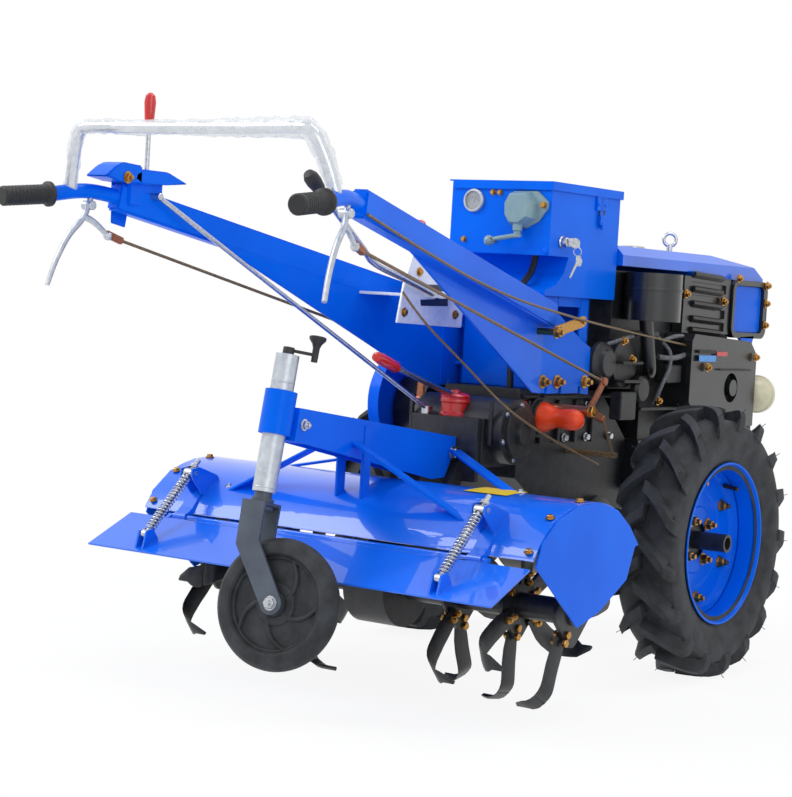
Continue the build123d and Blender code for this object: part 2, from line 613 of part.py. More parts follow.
# Tail wheel beam, clamp and post
beam = side_plate([(-975.0, 545.0), (-452.0, 481.0), (-495.0, 402.0), (-540.0, 400.0), (-985.0, 485.0)],
                  -beam_half, beam_half)
beam -= side_plate([(-950.0, 537.0), (-440.0, 474.0), (-440.0, 300.0), (-950.0, 300.0)],
                   -beam_half + beam_wall, beam_half - beam_wall)
axis = (Vector(post_top[0], 0, post_top[1]) - Vector(post_foot[0], 0, post_foot[1])).normalized()
foot = Vector(post_foot[0], 0, post_foot[1])
post_plane = Plane(origin=foot, x_dir=(0, 1, 0), z_dir=axis)
post_length = math.dist(post_top, post_foot)
clamp = extrude(post_plane.offset(105.0) * Circle(post_r + 8.0), 80.0)
post_room = extrude(post_plane * Circle(post_r), post_length)
keep("tail_beam", beam + clamp - post_room - case)


def on_post(h, x=0.0, y=0.0):
    return tuple(post_plane.from_local_coords(Vector(x, y, h)))


tail_post = post_room - extrude(post_plane * Circle(stem_r + pin_fit), post_length - 12.0)
tail_post += rod(on_post(post_length - 2.0), on_post(post_length + 12.0), 9.0)
tail_post += rod(on_post(post_length + 8.0), on_post(post_length + 8.0, -55.0), 5.0)
tail_post += rod(on_post(post_length + 4.0, -55.0), on_post(post_length + 40.0, -55.0), 9.0)
keep("tail_post", tail_post)
brace_foot = (-780.0, 285.0, 352.0)
rear_brace = rod((-800.0, beam_half - 6.0, 492.0), brace_foot, 8.0)
front_brace = rod((-470.0, beam_half - 6.0, 462.0), (-626.0, 300.0, 392.0), 7.0)
leg = span(-775.0, -750.0, beam_half - 5.0, beam_half + 2.0, 350.0, 510.0)
braces = both(rear_brace + front_brace + leg) - parts["tail_beam"] - hood_room - case
beam_room = beam_half - beam_wall + 0.1
braces -= span(-975.0, -452.0, -beam_room, beam_room, 380.0, 520.0)
keep("tail_braces", braces)


def swung(shape):
    # Turned about the post by the stored swivel, from trailing straight behind.
    return shape.rotate(Axis(foot, axis), tail_swivel_deg)


crown_low = -24.0
crown_high = -18.0
leg_inner = tail_wheel_width / 2 + 3.5
leg_outer = leg_inner + fork_wall
head_r = 21.0


def fork_leg(x0, x1):
    # The strap's outline in (backward, up) from the post, bent back to the axle.
    half = fork_width / 2
    outline = [(-half, crown_high), (half, crown_high), (half, -88.0),
               (tail_trail + 19.0, -tail_axle_drop + 8.0), (tail_trail - 19.0, -tail_axle_drop - 8.0),
               (-half + 2.0, -100.0)]
    plane = Plane(origin=post_plane.from_local_coords(Vector(x0, 0, 0)), x_dir=post_plane.y_dir,
                  z_dir=post_plane.x_dir)
    flip = 1 if plane.y_dir.dot(axis) > 0 else -1
    face = make_face(Polyline(*[(y, flip * z) for y, z in outline], close=True))
    eye = Pos(tail_trail, -flip * tail_axle_drop, 0) * Circle(20.6)
    return extrude(plane * (face + eye), x1 - x0)


wheel_at = post_plane.from_local_coords(Vector(0, tail_trail, -tail_axle_drop))
crown = extrude(post_plane.offset(crown_low) * Rectangle(2 * leg_outer, fork_width), crown_high - crown_low)
crown -= extrude(post_plane.offset(crown_low - 5) * Circle(stem_r + pin_fit), crown_high - crown_low + 10)
axle_bolt = Pos(wheel_at) * cross_rod(0, 0, -leg_outer - 9.0, leg_outer + 9.0, tail_axle_r)
fork = crown + fork_leg(leg_inner, leg_outer) + fork_leg(-leg_outer, -leg_inner) + axle_bolt
keep("tail_fork", swung(fork))
stem = extrude(post_plane.offset(crown_low - 8.0) * Circle(stem_r), 200.0)
stem += extrude(post_plane.offset(crown_low - 8.0) * Circle(head_r), 7.7)
stem += extrude(post_plane.offset(crown_high + 0.3) * Circle(head_r), 6.0)
keep("tail_stem", stem)
tyre_half = tail_wheel_width / 2
bore = tail_axle_r + pin_fit
caster = spin_profile([
    (bore, -tyre_half), (26.0, -tyre_half), (26.0, -10.0), (84.0, -8.0), (88.0, -tyre_half + 4.0),
    (104.0, -tyre_half), (114.0, -tyre_half + 6.0), (tail_wheel_r, -8.0), (tail_wheel_r, 8.0),
    (114.0, tyre_half - 6.0), (104.0, tyre_half), (88.0, tyre_half - 4.0), (84.0, 8.0), (26.0, 10.0),
    (26.0, tyre_half), (bore, tyre_half)], 0, 0, 0)
keep("tail_wheel", swung(Pos(wheel_at) * caster))

# Hand levers under the grips, with the arms that pull the steering rods
lever = rod((-1212.0, 288.0, 905.0), (-1222.0, 291.0, 862.0), 8.0)
lever += rod((-1222.0, 291.0, 866.0), (-1250.0, 298.0, 830.0), 7.0)
lever += rod((-1250.0, 298.0, 833.0), (-1288.0, 309.0, 738.0), 7.0)
clevis_at = (-1171.0, 278.0, 834.0)
lever += rod((-1222.0, 291.0, 866.0), clevis_at, 6.0) + Pos(*clevis_at) * Sphere(8.0)
lever = lever - left_beam
keep("hand_levers", both(lever))
crank_pivot = (-240.0, 200.0, 545.0)
crank_eye = (-185.0, 200.0, 606.0)
crank_toe = (-180.0, 200.0, 528.0)
crank = rod(crank_pivot, crank_eye, 7.0) + rod(crank_pivot, crank_toe, 6.0) + Pos(*crank_eye) * Sphere(8.0)
crank += Pos(*crank_toe) * Sphere(7.0)
crank += cross_rod(crank_pivot[0], crank_pivot[2], gearbox_half + 0.2, crank_pivot[1] + 6.0, 9.0)
crank += rod(crank_toe, (-130.0, 205.0, 452.0), 3.5)
crank_right = mirrored(crank) - parts["shaft_cap"]
crank_left = rod((-350.0, 140.0, 545.0), (-345.0, 140.0, 640.0), 7.0) + Pos(-345.0, 140.0, 640.0) * Sphere(8.0)
crank_left += cross_rod(-350.0, 545.0, 60.0, 146.0, 9.0) - parts["side_drive_case"] - parts["gearbox"]
keep("bell_cranks", crank_right + (crank_left - parts["side_drive_case"] - parts["gearbox"]))
right_rod = rod((clevis_at[0], -clevis_at[1], clevis_at[2]), (crank_eye[0], -crank_eye[1], crank_eye[2]), 3.0)
left_rod = rod(clevis_at, (-345.0, 140.0, 640.0), 3.0)
steering = (left_rod + right_rod) - parts["hand_levers"] - parts["bell_cranks"] - parts["handle_bracket"]
keep("steering_rods", steering - parts["handle_beams"])

# Clutch bracket on the left handle, gear gate on the right, and the levers
cover_block = span(-1150.0, -985.0, 236.0, 292.0, 936.0, 966.0)
cover_block -= span(-1146.0, -989.0, 240.0, 288.0, 930.0, 962.0)
cover_block += span(-1110.0, -1050.0, 250.0, 278.0, 900.0, 963.0)
keep("clutch_bracket", cover_block - parts["handle_beams"])
gate = side_plate([(-654.0, 705.0), (-638.0, 779.0), (-611.0, 842.0), (-545.0, 808.0), (-427.0, 736.0),
                   (-430.0, 700.0)], -6.0, 0.0)
gate += span(-560.0, -470.0, -gusset_y, 0.0, 757.0, 763.0)
gate += span(-560.0, -470.0, -6.0, gusset_y, 757.0, 763.0)
keep("gear_gate", gate)
levers = rod((-1080.0, 264.0, 962.0), (-1080.0, 264.0, 1035.0), 5.0)
gear_rod = rod((-550.0, -20.0, 763.0), (-760.0, -20.0, 815.0), 6.0)
gear_rod += rod((-760.0, -20.0, 813.0), (-940.0, -20.0, 940.0), 6.0)
second_rod = rod((-500.0, 20.0, 763.0), (-555.0, 20.0, 885.0), 6.0)
boot_top = drive_case_top + 31.0
drive_rod = rod((boot_at[0], boot_at[1], boot_top), (-690.0, -36.0, 620.0), 6.0)
keep("control_levers", (levers + gear_rod + second_rod + drive_rod) - cover_block - gate - parts["shift_boot"]
     - parts["handle_bracket"])
knobs = rod((-1080.0, 264.0, 1035.0), (-1080.0, 264.0, 1100.0), 10.0)
knobs += rod((-940.0, -20.0, 940.0), (-970.0, -20.0, 962.0), 13.0)
knobs += rod((-555.0, 20.0, 885.0), (-566.0, 20.0, 905.0), 13.0)
knobs += rod((-690.0, -36.0, 620.0), (-780.0, -50.0, 642.0), 12.0)
keep("lever_knobs", knobs - parts["control_levers"])

for name, shape in parts.items():
    export_step(Pos(axle_x, 0, 0) * shape, "parts/" + name + ".step")
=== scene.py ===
import math

import bmesh
import bpy
from mathutils import Matrix, Vector, noise


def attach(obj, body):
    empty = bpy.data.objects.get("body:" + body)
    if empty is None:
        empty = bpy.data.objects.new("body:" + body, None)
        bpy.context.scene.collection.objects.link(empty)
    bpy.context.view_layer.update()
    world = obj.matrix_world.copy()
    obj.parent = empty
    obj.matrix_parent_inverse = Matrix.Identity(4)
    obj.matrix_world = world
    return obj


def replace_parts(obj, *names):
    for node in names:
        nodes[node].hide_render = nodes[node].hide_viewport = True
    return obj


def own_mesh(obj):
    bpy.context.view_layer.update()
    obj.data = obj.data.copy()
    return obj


bl_info = {
    "name": "Walking tractor with rotary tiller",
    "version": (1, 0, 0),
    "blender": (4, 5, 0),
    "location": "3D view, sidebar, Tiller tab",
    "description": "Dresses the two-wheel tractor, its rotary tiller and tail wheel, and sets its stage",
    "category": "Object",
}

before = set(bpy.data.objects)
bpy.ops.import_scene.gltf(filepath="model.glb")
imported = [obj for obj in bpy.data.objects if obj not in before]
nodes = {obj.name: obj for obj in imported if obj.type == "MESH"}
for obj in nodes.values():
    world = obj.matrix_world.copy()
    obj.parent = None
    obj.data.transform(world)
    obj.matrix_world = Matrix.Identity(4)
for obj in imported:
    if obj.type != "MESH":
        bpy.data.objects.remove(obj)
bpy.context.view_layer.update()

# Places below are in metres from the wheel axle along X, as the machine is measured, and are moved by this
axle_x = 0.3475
axle_z = 0.283
track_half = 0.353


both_sides = (("left", 1), ("right", -1))


def place(x, y, z):
    """A point given from the wheel axle, in the model's own frame."""
    return Vector((x + axle_x, y, z))


def mm(x, y, z):
    """A point in millimetres from the wheel axle, in the model's own frame."""
    return place(x / 1000, y / 1000, z / 1000)


def route(points, side=1):
    """Points in millimetres from the wheel axle, mirrored where side is -1."""
    return [mm(x, side * y, z) for x, y, z in points]


# Colours and nodes


def linear(code):
    """An sRGB hex colour as linear red, green, blue and alpha."""
    channels = [int(code[i:i + 2], 16) / 255 for i in (1, 3, 5)]
    return tuple(c / 12.92 if c <= 0.04045 else ((c + 0.055) / 1.055) ** 2.4 for c in channels) + (1.0,)


def add(tree, kind, settings=(), links=()):
    """One node with its settings, by attribute or socket name, and the sockets that feed it."""
    made = tree.nodes.new(kind)
    for name, value in dict(settings).items():
        if hasattr(made, name):
            setattr(made, name, value)
        else:
            made.inputs[name].default_value = value
    for name, source in dict(links).items():
        tree.links.new(source, made.inputs[name])
    return made


def grain(tree, size_mm):
    """Noise whose grain has that size on the real part."""
    coords = add(tree, "ShaderNodeTexCoord")
    return add(tree, "ShaderNodeTexNoise", {"Scale": 1000.0 / size_mm, "Detail": 3.0, "Roughness": 0.5},
               {"Vector": coords.outputs["Object"]})


def ramp_between(tree, source, low, high, first, second):
    """Blends two colours as a value goes from low to high."""
    ramp = add(tree, "ShaderNodeValToRGB", links={"Fac": source})
    for stop, position, colour in zip(ramp.color_ramp.elements, (low, high), (first, second)):
        stop.position = position
        stop.color = colour
    return ramp.outputs["Color"]


def surface(name, base, shade, grain_mm, bump_mm, bump_grain_mm, settings, edge_mm):
    """A principled surface: two close colours blended by a grain, with a bump of a real height and size."""
    material = bpy.data.materials.new(name)
    material.use_nodes = True
    tree = material.node_tree
    shader = tree.nodes["Principled BSDF"]
    for key, value in settings.items():
        shader.inputs[key].default_value = value
    cloud = grain(tree, grain_mm)
    colour = ramp_between(tree, cloud.outputs["Fac"], 0.35, 0.65, linear(base), linear(shade))
    tree.links.new(colour, shader.inputs["Base Color"])
    fine = grain(tree, bump_grain_mm)
    bump = add(tree, "ShaderNodeBump", {"Strength": 1.0, "Distance": bump_mm / 1000.0},
               {"Height": fine.outputs["Fac"]})
    if edge_mm:
        edge = add(tree, "ShaderNodeBevel", {"samples": 4, "Radius": edge_mm / 1000.0})
        tree.links.new(edge.outputs["Normal"], bump.inputs["Normal"])
    tree.links.new(bump.outputs["Normal"], shader.inputs["Normal"])
    return material


materials = {}


paint = "the paint of the panel"

# Each finish has its key and name, two close colours, then in millimetres the colour's grain, the bump's height
# and grain, and the radius its edges are worn to, and last the settings of the shader
finish_rows = (
    # Gloss enamel sprayed on pressed sheet: a faint orange peel and a clear top, so lamps show as soft patches
    ("blue", "gloss_enamel_blue", paint, "#0060e4", 220.0, 0.03, 9.0, 1.6,
     {"Roughness": 0.38, "Specular IOR Level": 0.2, "Specular Tint": (0.02, 0.35, 1.0, 1.0), "Coat Weight": 0.1,
      "Coat Roughness": 0.07}),
    # The same enamel where it has flowed out on the flat sheets: it mirrors the sky at a low angle
    ("blue_flat", "flowed_enamel_blue", paint, "#0064e4", 220.0, 0.05, 60.0, 1.6,
     {"Roughness": 0.3, "Specular IOR Level": 0.3, "Coat Weight": 0.75, "Coat Roughness": 0.02}),
    # Slate paint on the tail wheel's fork
    ("slate", "slate_semi_gloss_paint", "#404854", "#4c5562", 40.0, 0.05, 4.0, 1.2, {"Roughness": 0.4}),
    # Black stoving enamel on sheet: smoother and glossier than the castings
    ("black_sheet", "stoved_enamel_black", "#151618", "#1e2023", 60.0, 0.04, 6.0, 1.5,
     {"Roughness": 0.3, "Coat Weight": 0.3, "Coat Roughness": 0.12}),
    # Black paint over sand-cast iron: the sand's grain shows through and breaks up the gloss
    ("black_cast", "painted_cast_iron", "#141517", "#26272a", 22.0, 0.5, 2.2, 2.5,
     {"Roughness": 0.42, "Specular IOR Level": 0.5}),
    # Forged spring steel dipped in black paint
    ("black_forged", "dipped_spring_steel", "#191a1c", "#26282b", 15.0, 0.25, 3.0, 1.0, {"Roughness": 0.38}),
    # Moulded natural rubber: dull, with a bloom that greys the flats
    ("tyre", "moulded_tyre_rubber", "#1f2124", "#34373b", 35.0, 0.25, 1.6, 2.0,
     {"Roughness": 0.62, "Specular IOR Level": 0.35}),
    ("soft_black", "moulded_grip_rubber", "#17181a", "#202124", 8.0, 0.1, 1.2, 0.6, {"Roughness": 0.55}),
    # Bright zinc plate on drawn steel
    ("zinc", "bright_zinc_plate", "#c9ccd2", "#aeb3ba", 5.0, 0.05, 1.5, 0.6, {"Metallic": 1.0, "Roughness": 0.27}),
    # Aluminium paint on the post: a fine sparkle, not a mirror
    ("silver_paint", "aluminium_paint", "#c7ccd1", "#b3b9c0", 12.0, 0.08, 1.4, 1.0,
     {"Metallic": 0.55, "Roughness": 0.34}),
    # Yellow passivated zinc: brassy, with faint rainbow patches
    ("gold_zinc", "yellow_passivated_zinc", "#c79a45", "#a9784a", 4.0, 0.04, 1.0, 0.5,
     {"Metallic": 1.0, "Roughness": 0.3}),
    # White passivated plate, left by the presses with a pale bloom
    ("white_zinc", "white_zinc_plate", "#f2f4f8", "#e4e8ee", 9.0, 0.03, 2.0, 0.6,
     {"Metallic": 0.1, "Roughness": 0.35}),
    # Bowden cable in its oiled steel wrap under clear brown sheath
    ("cable", "cable_sheath", "#8a7250", "#5d4c38", 3.0, 0.12, 0.9, 0.0, {"Roughness": 0.42, "Metallic": 0.25}),
    # Stretch film wound on for the journey: clear, crumpled and glossy
    ("film", "crumpled_packing_film", "#f4f6f8", "#dfe3e8", 12.0, 0.6, 5.0, 0.0,
     {"Roughness": 0.16, "Alpha": 0.42, "Coat Weight": 0.5}),
    # Clear glass over the gauge and lamp
    ("clear", "clear_glass", "#ffffff", "#f4f8fa", 30.0, 0.005, 6.0, 0.0,
     {"Roughness": 0.03, "Transmission Weight": 0.9, "IOR": 1.5}),
    ("dial", "printed_dial", "#c9cdd2", "#bcc1c8", 9.0, 0.01, 2.0, 0.0, {"Roughness": 0.5}),
    # Thin rubber hose with a grey bloom
    ("grey_hose", "bloomed_rubber_hose", "#4a4d52", "#6b6f75", 6.0, 0.1, 1.5, 0.0, {"Roughness": 0.5}),
    # Louvred sheet, its pierced mesh drawn as coarse as it needs to show; the near-black grain is painted shade in
    # the piercings
    ("louvre_mesh_and_shade", "pierced_sheet_and_shade", "#2a2826", "#0e0e10", 2.6, 0.5, 2.6, 0.0, {"Roughness": 0.4}),
    ("label_yellow", "yellow_vinyl_label", "#f5d21a", "#e8c415", 18.0, 0.01, 4.0, 0.0, {"Roughness": 0.35}),
    ("label_white", "white_vinyl_label", "#eceff2", "#dfe3e8", 18.0, 0.01, 4.0, 0.0, {"Roughness": 0.35}),
    ("label_blue", "pale_blue_vinyl_label", "#3f8fe0", "#5aa0e6", 18.0, 0.01, 4.0, 0.0, {"Roughness": 0.35}),
    ("copper_steel", "copper_flashed_steel", "#a8694a", "#8b5741", 9.0, 0.06, 2.0, 0.8,
     {"Metallic": 0.7, "Roughness": 0.42}),
    ("chrome", "chrome_plate", "#dfe2e6", "#d3d7dc", 40.0, 0.01, 4.0, 0.0, {"Metallic": 1.0, "Roughness": 0.12}),
    ("red", "gloss_red_plastic", "#d61912", "#c01410", 30.0, 0.02, 5.0, 1.0,
     {"Roughness": 0.25, "Coat Weight": 0.4, "Coat Roughness": 0.08}),
    ("orange", "orange_rubber_cap", "#f2480e", "#e23c0a", 20.0, 0.08, 3.0, 1.5, {"Roughness": 0.42}),
    ("cream", "cream_lamp_enamel", "#d9d3b4", "#cfc8a8", 25.0, 0.04, 5.0, 1.0, {"Roughness": 0.3}),
    ("hammer", "grey_green_enamel", "#7f9ea3", "#7795a0", 30.0, 0.06, 4.0, 2.0,
     {"Roughness": 0.33, "Coat Weight": 0.3, "Coat Roughness": 0.1}),
)


def make_materials():
    red_green_blue = bpy.context.scene.tiller_look.paint_blue
    blue = "#%02x%02x%02x" % tuple(round(255 * c) for c in red_green_blue)
    for key, name, base, shade, grain_mm, bump_mm, bump_grain_mm, edge_mm, settings in finish_rows:
        materials[key] = surface(name, blue if base == paint else base, shade, grain_mm, bump_mm, bump_grain_mm,
                                 settings, edge_mm)


# Mesh tools

# Bolts that come back in several places: across flats, height, washer's radius and what stands out of the nut
sheet_bolt = (0.011, 0.005, 0.009)
frame_bolt = (0.019, 0.010, 0.0145, 0.008)
brace_bolt = (0.015, 0.008, 0.011, 0.004)


def round_angles(count):
    """That many even angles round a circle."""
    return [2 * math.pi * k / count for k in range(count)]


class Form:
    """A mesh in the making, in the model's frame, in metres."""

    def __init__(self):
        self.mesh = bmesh.new()

    def loop(self, points):
        return [self.mesh.verts.new(p) for p in points]

    def bridge(self, loops, closed=True):
        """Faces between each loop and the next, whose counts are the same."""
        for low, high in zip(loops, loops[1:]):
            count = len(low)
            for k in range(count if closed else count - 1):
                m = (k + 1) % count
                self.mesh.faces.new([low[k], low[m], high[m], high[k]])

    def cap(self, loops):
        """The two faces that close a bridged row of loops."""
        self.mesh.faces.new(loops[0][::-1])
        self.mesh.faces.new(loops[-1])

    def lathe(self, profile, at, axis, steps=24):
        """Turns (radius, height) points about an axis; a radius of 0 closes the end."""
        up = Vector(axis).normalized()
        turn = up.to_track_quat("Z", "Y").to_matrix()
        rings = []
        for radius, height in profile:
            if radius == 0:
                rings.append(self.loop([Vector(at) + up * height]))
            else:
                rings.append(self.loop(
                    Vector(at) + turn @ Vector((radius * math.cos(a), radius * math.sin(a), height))
                    for a in round_angles(steps)))
        for low, high in zip(rings, rings[1:]):
            for i in range(steps):
                j = (i + 1) % steps
                corners = [low[i % len(low)], low[j % len(low)], high[j % len(high)], high[i % len(high)]]
                unique = list(dict.fromkeys(corners))
                if len(unique) > 2:
                    self.mesh.faces.new(unique)
        return self

    def bar(self, start, end, radius, steps=16, bevel=0.0):
        """A round bar with its ends chamfered by bevel."""
        length = (Vector(end) - Vector(start)).length
        profile = [(0, 0), (radius - bevel, 0), (radius, bevel), (radius, length - bevel), (radius - bevel, length),
                   (0, length)]
        if not bevel:
            profile = [(0, 0), (radius, 0), (radius, length), (0, length)]
        return self.lathe(profile, start, Vector(end) - Vector(start), steps)

    def bolt(self, at, axis, across=0.013, height=0.006, washer=0.0, stud=0.0):
        """A chamfered hexagon head on its washer, standing out along an axis."""
        if washer:
            self.lathe([(0, 0), (washer, 0), (washer, 0.0016), (0, 0.0016)], at, axis, 20)
        up = Vector(axis).normalized()
        base = Vector(at) + up * (0.0015 if washer else 0.0)
        r = across / 2 / math.cos(math.pi / 6)
        self.lathe([(0, 0), (r, 0), (r, height * 0.8), (r * 0.86, height), (0, height)], base, axis, 6)
        if stud:
            self.lathe([(0, 0), (across * 0.28, 0), (across * 0.28, stud), (0, stud)], base + up * height, axis, 12)
        return self

    def tube(self, points, radius, sides=10, smooth=6, flat=1.0):
        """A tube through points on a smooth line; flat squeezes it along its second axis."""
        line = soften(points, smooth)
        side = None
        rings = []
        for i, p in enumerate(line):
            ahead = line[min(i + 1, len(line) - 1)] - line[max(i - 1, 0)]
            ahead.normalize()
            if side is None:
                side = ahead.orthogonal().normalized()
            side = (side - ahead * side.dot(ahead)).normalized()
            other = ahead.cross(side)
            r = radius(i / (len(line) - 1)) if callable(radius) else radius
            rings.append(self.loop(p + side * (r * math.cos(a)) + other * (r * flat * math.sin(a))
                                   for a in round_angles(sides)))
        self.bridge(rings)
        self.cap(rings)
        return self

    def plate(self, corners, thickness, bevel=0.0):
        """A flat plate from its corners, thickened along its normal."""
        points = [Vector(c) for c in corners]
        normal = sum((points[i].cross(points[(i + 1) % len(points)]) for i in range(len(points))),
                     Vector((0, 0, 0))).normalized()
        return self.prism(points, normal * thickness, bevel)

    def side(self, outline, y0, y1, bevel=0.0):
        """A plate across the machine from its outline in (x, z) and two y, in millimetres from the axle."""
        return self.prism([mm(x, y0, z) for x, z in outline], (0, (y1 - y0) / 1000, 0), bevel)

    def beam(self, start, end, wide, high, bevel=0.0, hint=(0, 0, 1)):
        """A rectangular bar from start to end, its width level."""
        way = Vector(end) - Vector(start)
        across = way.cross(Vector(hint)).normalized() * (wide / 2)
        up = across.cross(way).normalized() * (high / 2)
        corners = [Vector(start) + across + up, Vector(start) - across + up, Vector(start) - across - up,
                   Vector(start) + across - up]
        return self.prism(corners, way, bevel)

    def ball(self, at, radius, steps=16):
        """A round ball."""
        arcs = [math.pi * i / 8 for i in range(1, 8)]
        profile = [(0, -radius)] + [(radius * math.sin(a), -radius * math.cos(a)) for a in arcs] + [(0, radius)]
        return self.lathe(profile, at, (0, 0, 1), steps)

    def prism(self, points, shift, bevel=0.0):
        """A flat face swept along shift."""
        low = self.loop(Vector(p) for p in points)
        high = self.loop(Vector(p) + Vector(shift) for p in points)
        self.cap([low, high])
        self.bridge([low, high])
        if bevel:
            edges = {e for v in low + high for e in v.link_edges}
            bmesh.ops.bevel(self.mesh, geom=list(edges), offset=bevel, segments=2, affect="EDGES")
        return self

    def block(self, low, high, bevel=0.0):
        """A box between two corners, its edges rounded."""
        x0, y0, z0 = low
        x1, y1, z1 = high
        return self.plate([(x0, y0, z0), (x1, y0, z0), (x1, y1, z0), (x0, y1, z0)], z1 - z0, bevel)

    def coil(self, start, end, radius, wire, turns):
        """A wound spring between two points."""
        a, b = Vector(start), Vector(end)
        up = (b - a).normalized()
        side = up.orthogonal().normalized()
        other = up.cross(side)
        count = int(turns * 14)
        points = []
        for i in range(count + 1):
            t = i / count
            angle = 2 * math.pi * turns * t
            points.append(a + (b - a) * t + side * radius * math.cos(angle) + other * radius * math.sin(angle))
        return self.tube(points, wire, 6, 1)

    def ring(self, at, axis, radius, wire, steps=32, sides=10):
        """A closed round ring of wire."""
        turn = Vector(axis).normalized().to_track_quat("Z", "Y").to_matrix()
        rings = []
        for a in round_angles(steps):
            rings.append(self.loop(Vector(at) + turn @ Vector((
                (radius + wire * math.cos(b)) * math.cos(a), (radius + wire * math.cos(b)) * math.sin(a),
                wire * math.sin(b))) for b in round_angles(sides)))
        self.bridge(rings + rings[:1])
        return self

    def pan(self, outline, y_face, y_open, wall):
        """A pressed cover with its skirt: outline in (x, z), open at y_open, in millimetres from the axle."""
        count = len(outline)
        inner = []
        for i in range(count):
            before, here, after = (Vector(outline[(i + k) % count]) for k in (-1, 0, 1))
            first = (here - before).normalized()
            second = (after - here).normalized()
            inward = Vector((-first.y - second.y, first.x + second.x)).normalized()
            inner.append(here + inward * wall)
        toward = 1 if y_open > y_face else -1
        loops = [self.loop(mm(x, y, z) for x, z in points) for points, y in (
            (outline, y_face), (outline, y_open), (inner, y_open), (inner, y_face + toward * wall))]
        self.cap(loops)
        self.bridge(loops)
        return self

    def done(self, name, finish, slot=None, body="chassis", sharp=35.0):
        """Closes the mesh as an object with its material, riding on a body."""
        bmesh.ops.recalc_face_normals(self.mesh, faces=self.mesh.faces[:])
        data = bpy.data.meshes.new(name)
        self.mesh.to_mesh(data)
        self.mesh.free()
        data.shade_smooth()
        data.set_sharp_from_angle(angle=math.radians(sharp))
        made = bpy.data.objects.new(name, data)
        bpy.context.scene.collection.objects.link(made)
        data.materials.append(materials[finish])
        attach(made, body)
        return made


def soften(points, parts):
    """Points on a smooth line through the given ones."""
    given = [Vector(p) for p in points]
    if parts < 2 or len(given) < 3:
        return given
    ends = [given[0] * 2 - given[1]] + given + [given[-1] * 2 - given[-2]]
    line = []
    for i in range(1, len(ends) - 2):
        p0, p1, p2, p3 = ends[i - 1:i + 3]
        for k in range(parts):
            t = k / parts
            line.append(0.5 * (2 * p1 + (p2 - p0) * t + (2 * p0 - 5 * p1 + 4 * p2 - p3) * t * t
                               + (3 * p1 - p0 - 3 * p2 + p3) * t ** 3))
    return line + [given[-1]]


# Stage


def seen_directly(tree):
    """1 where a ray comes straight from the camera, or through gloss or glass."""
    path = add(tree, "ShaderNodeLightPath")
    either = add(tree, "ShaderNodeMath", {"operation": "MAXIMUM"},
                 {0: path.outputs["Is Camera Ray"], 1: path.outputs["Is Transmission Ray"]})
    return add(tree, "ShaderNodeMath", {"operation": "MAXIMUM"},
               {0: either.outputs[0], 1: path.outputs["Is Glossy Ray"]}).outputs[0]


def floor_paper():
    """White paper that takes the shadow near the machine and runs out into plain white further off."""
    paper = bpy.data.materials.new("matt_white_paper")
    paper.use_nodes = True
    tree = paper.node_tree
    shader = tree.nodes["Principled BSDF"]
    shader.inputs["Base Color"].default_value = linear("#f7f8f9")
    shader.inputs["Roughness"].default_value = 0.9
    shader.inputs["Specular IOR Level"].default_value = 0.05
    coords = add(tree, "ShaderNodeTexCoord")
    away = add(tree, "ShaderNodeVectorMath", {"operation": "LENGTH"}, {0: coords.outputs["Object"]})
    shadow_to, plain_from, least_white = 0.9, 2.0, 0.9
    faded = add(tree, "ShaderNodeMapRange", {"From Min": shadow_to, "From Max": plain_from, "To Min": least_white},
                {"Value": away.outputs["Value"]})
    share = add(tree, "ShaderNodeMath", {"operation": "MULTIPLY"},
                {0: faded.outputs["Result"], 1: seen_directly(tree)})
    white = add(tree, "ShaderNodeEmission", {"Color": (1.0, 1.0, 1.0, 1.0), "Strength": 1.0})
    both = add(tree, "ShaderNodeMixShader",
               links={0: share.outputs[0], 1: shader.outputs["BSDF"], 2: white.outputs[0]})
    tree.links.new(both.outputs[0], tree.nodes["Material Output"].inputs["Surface"])
    return paper


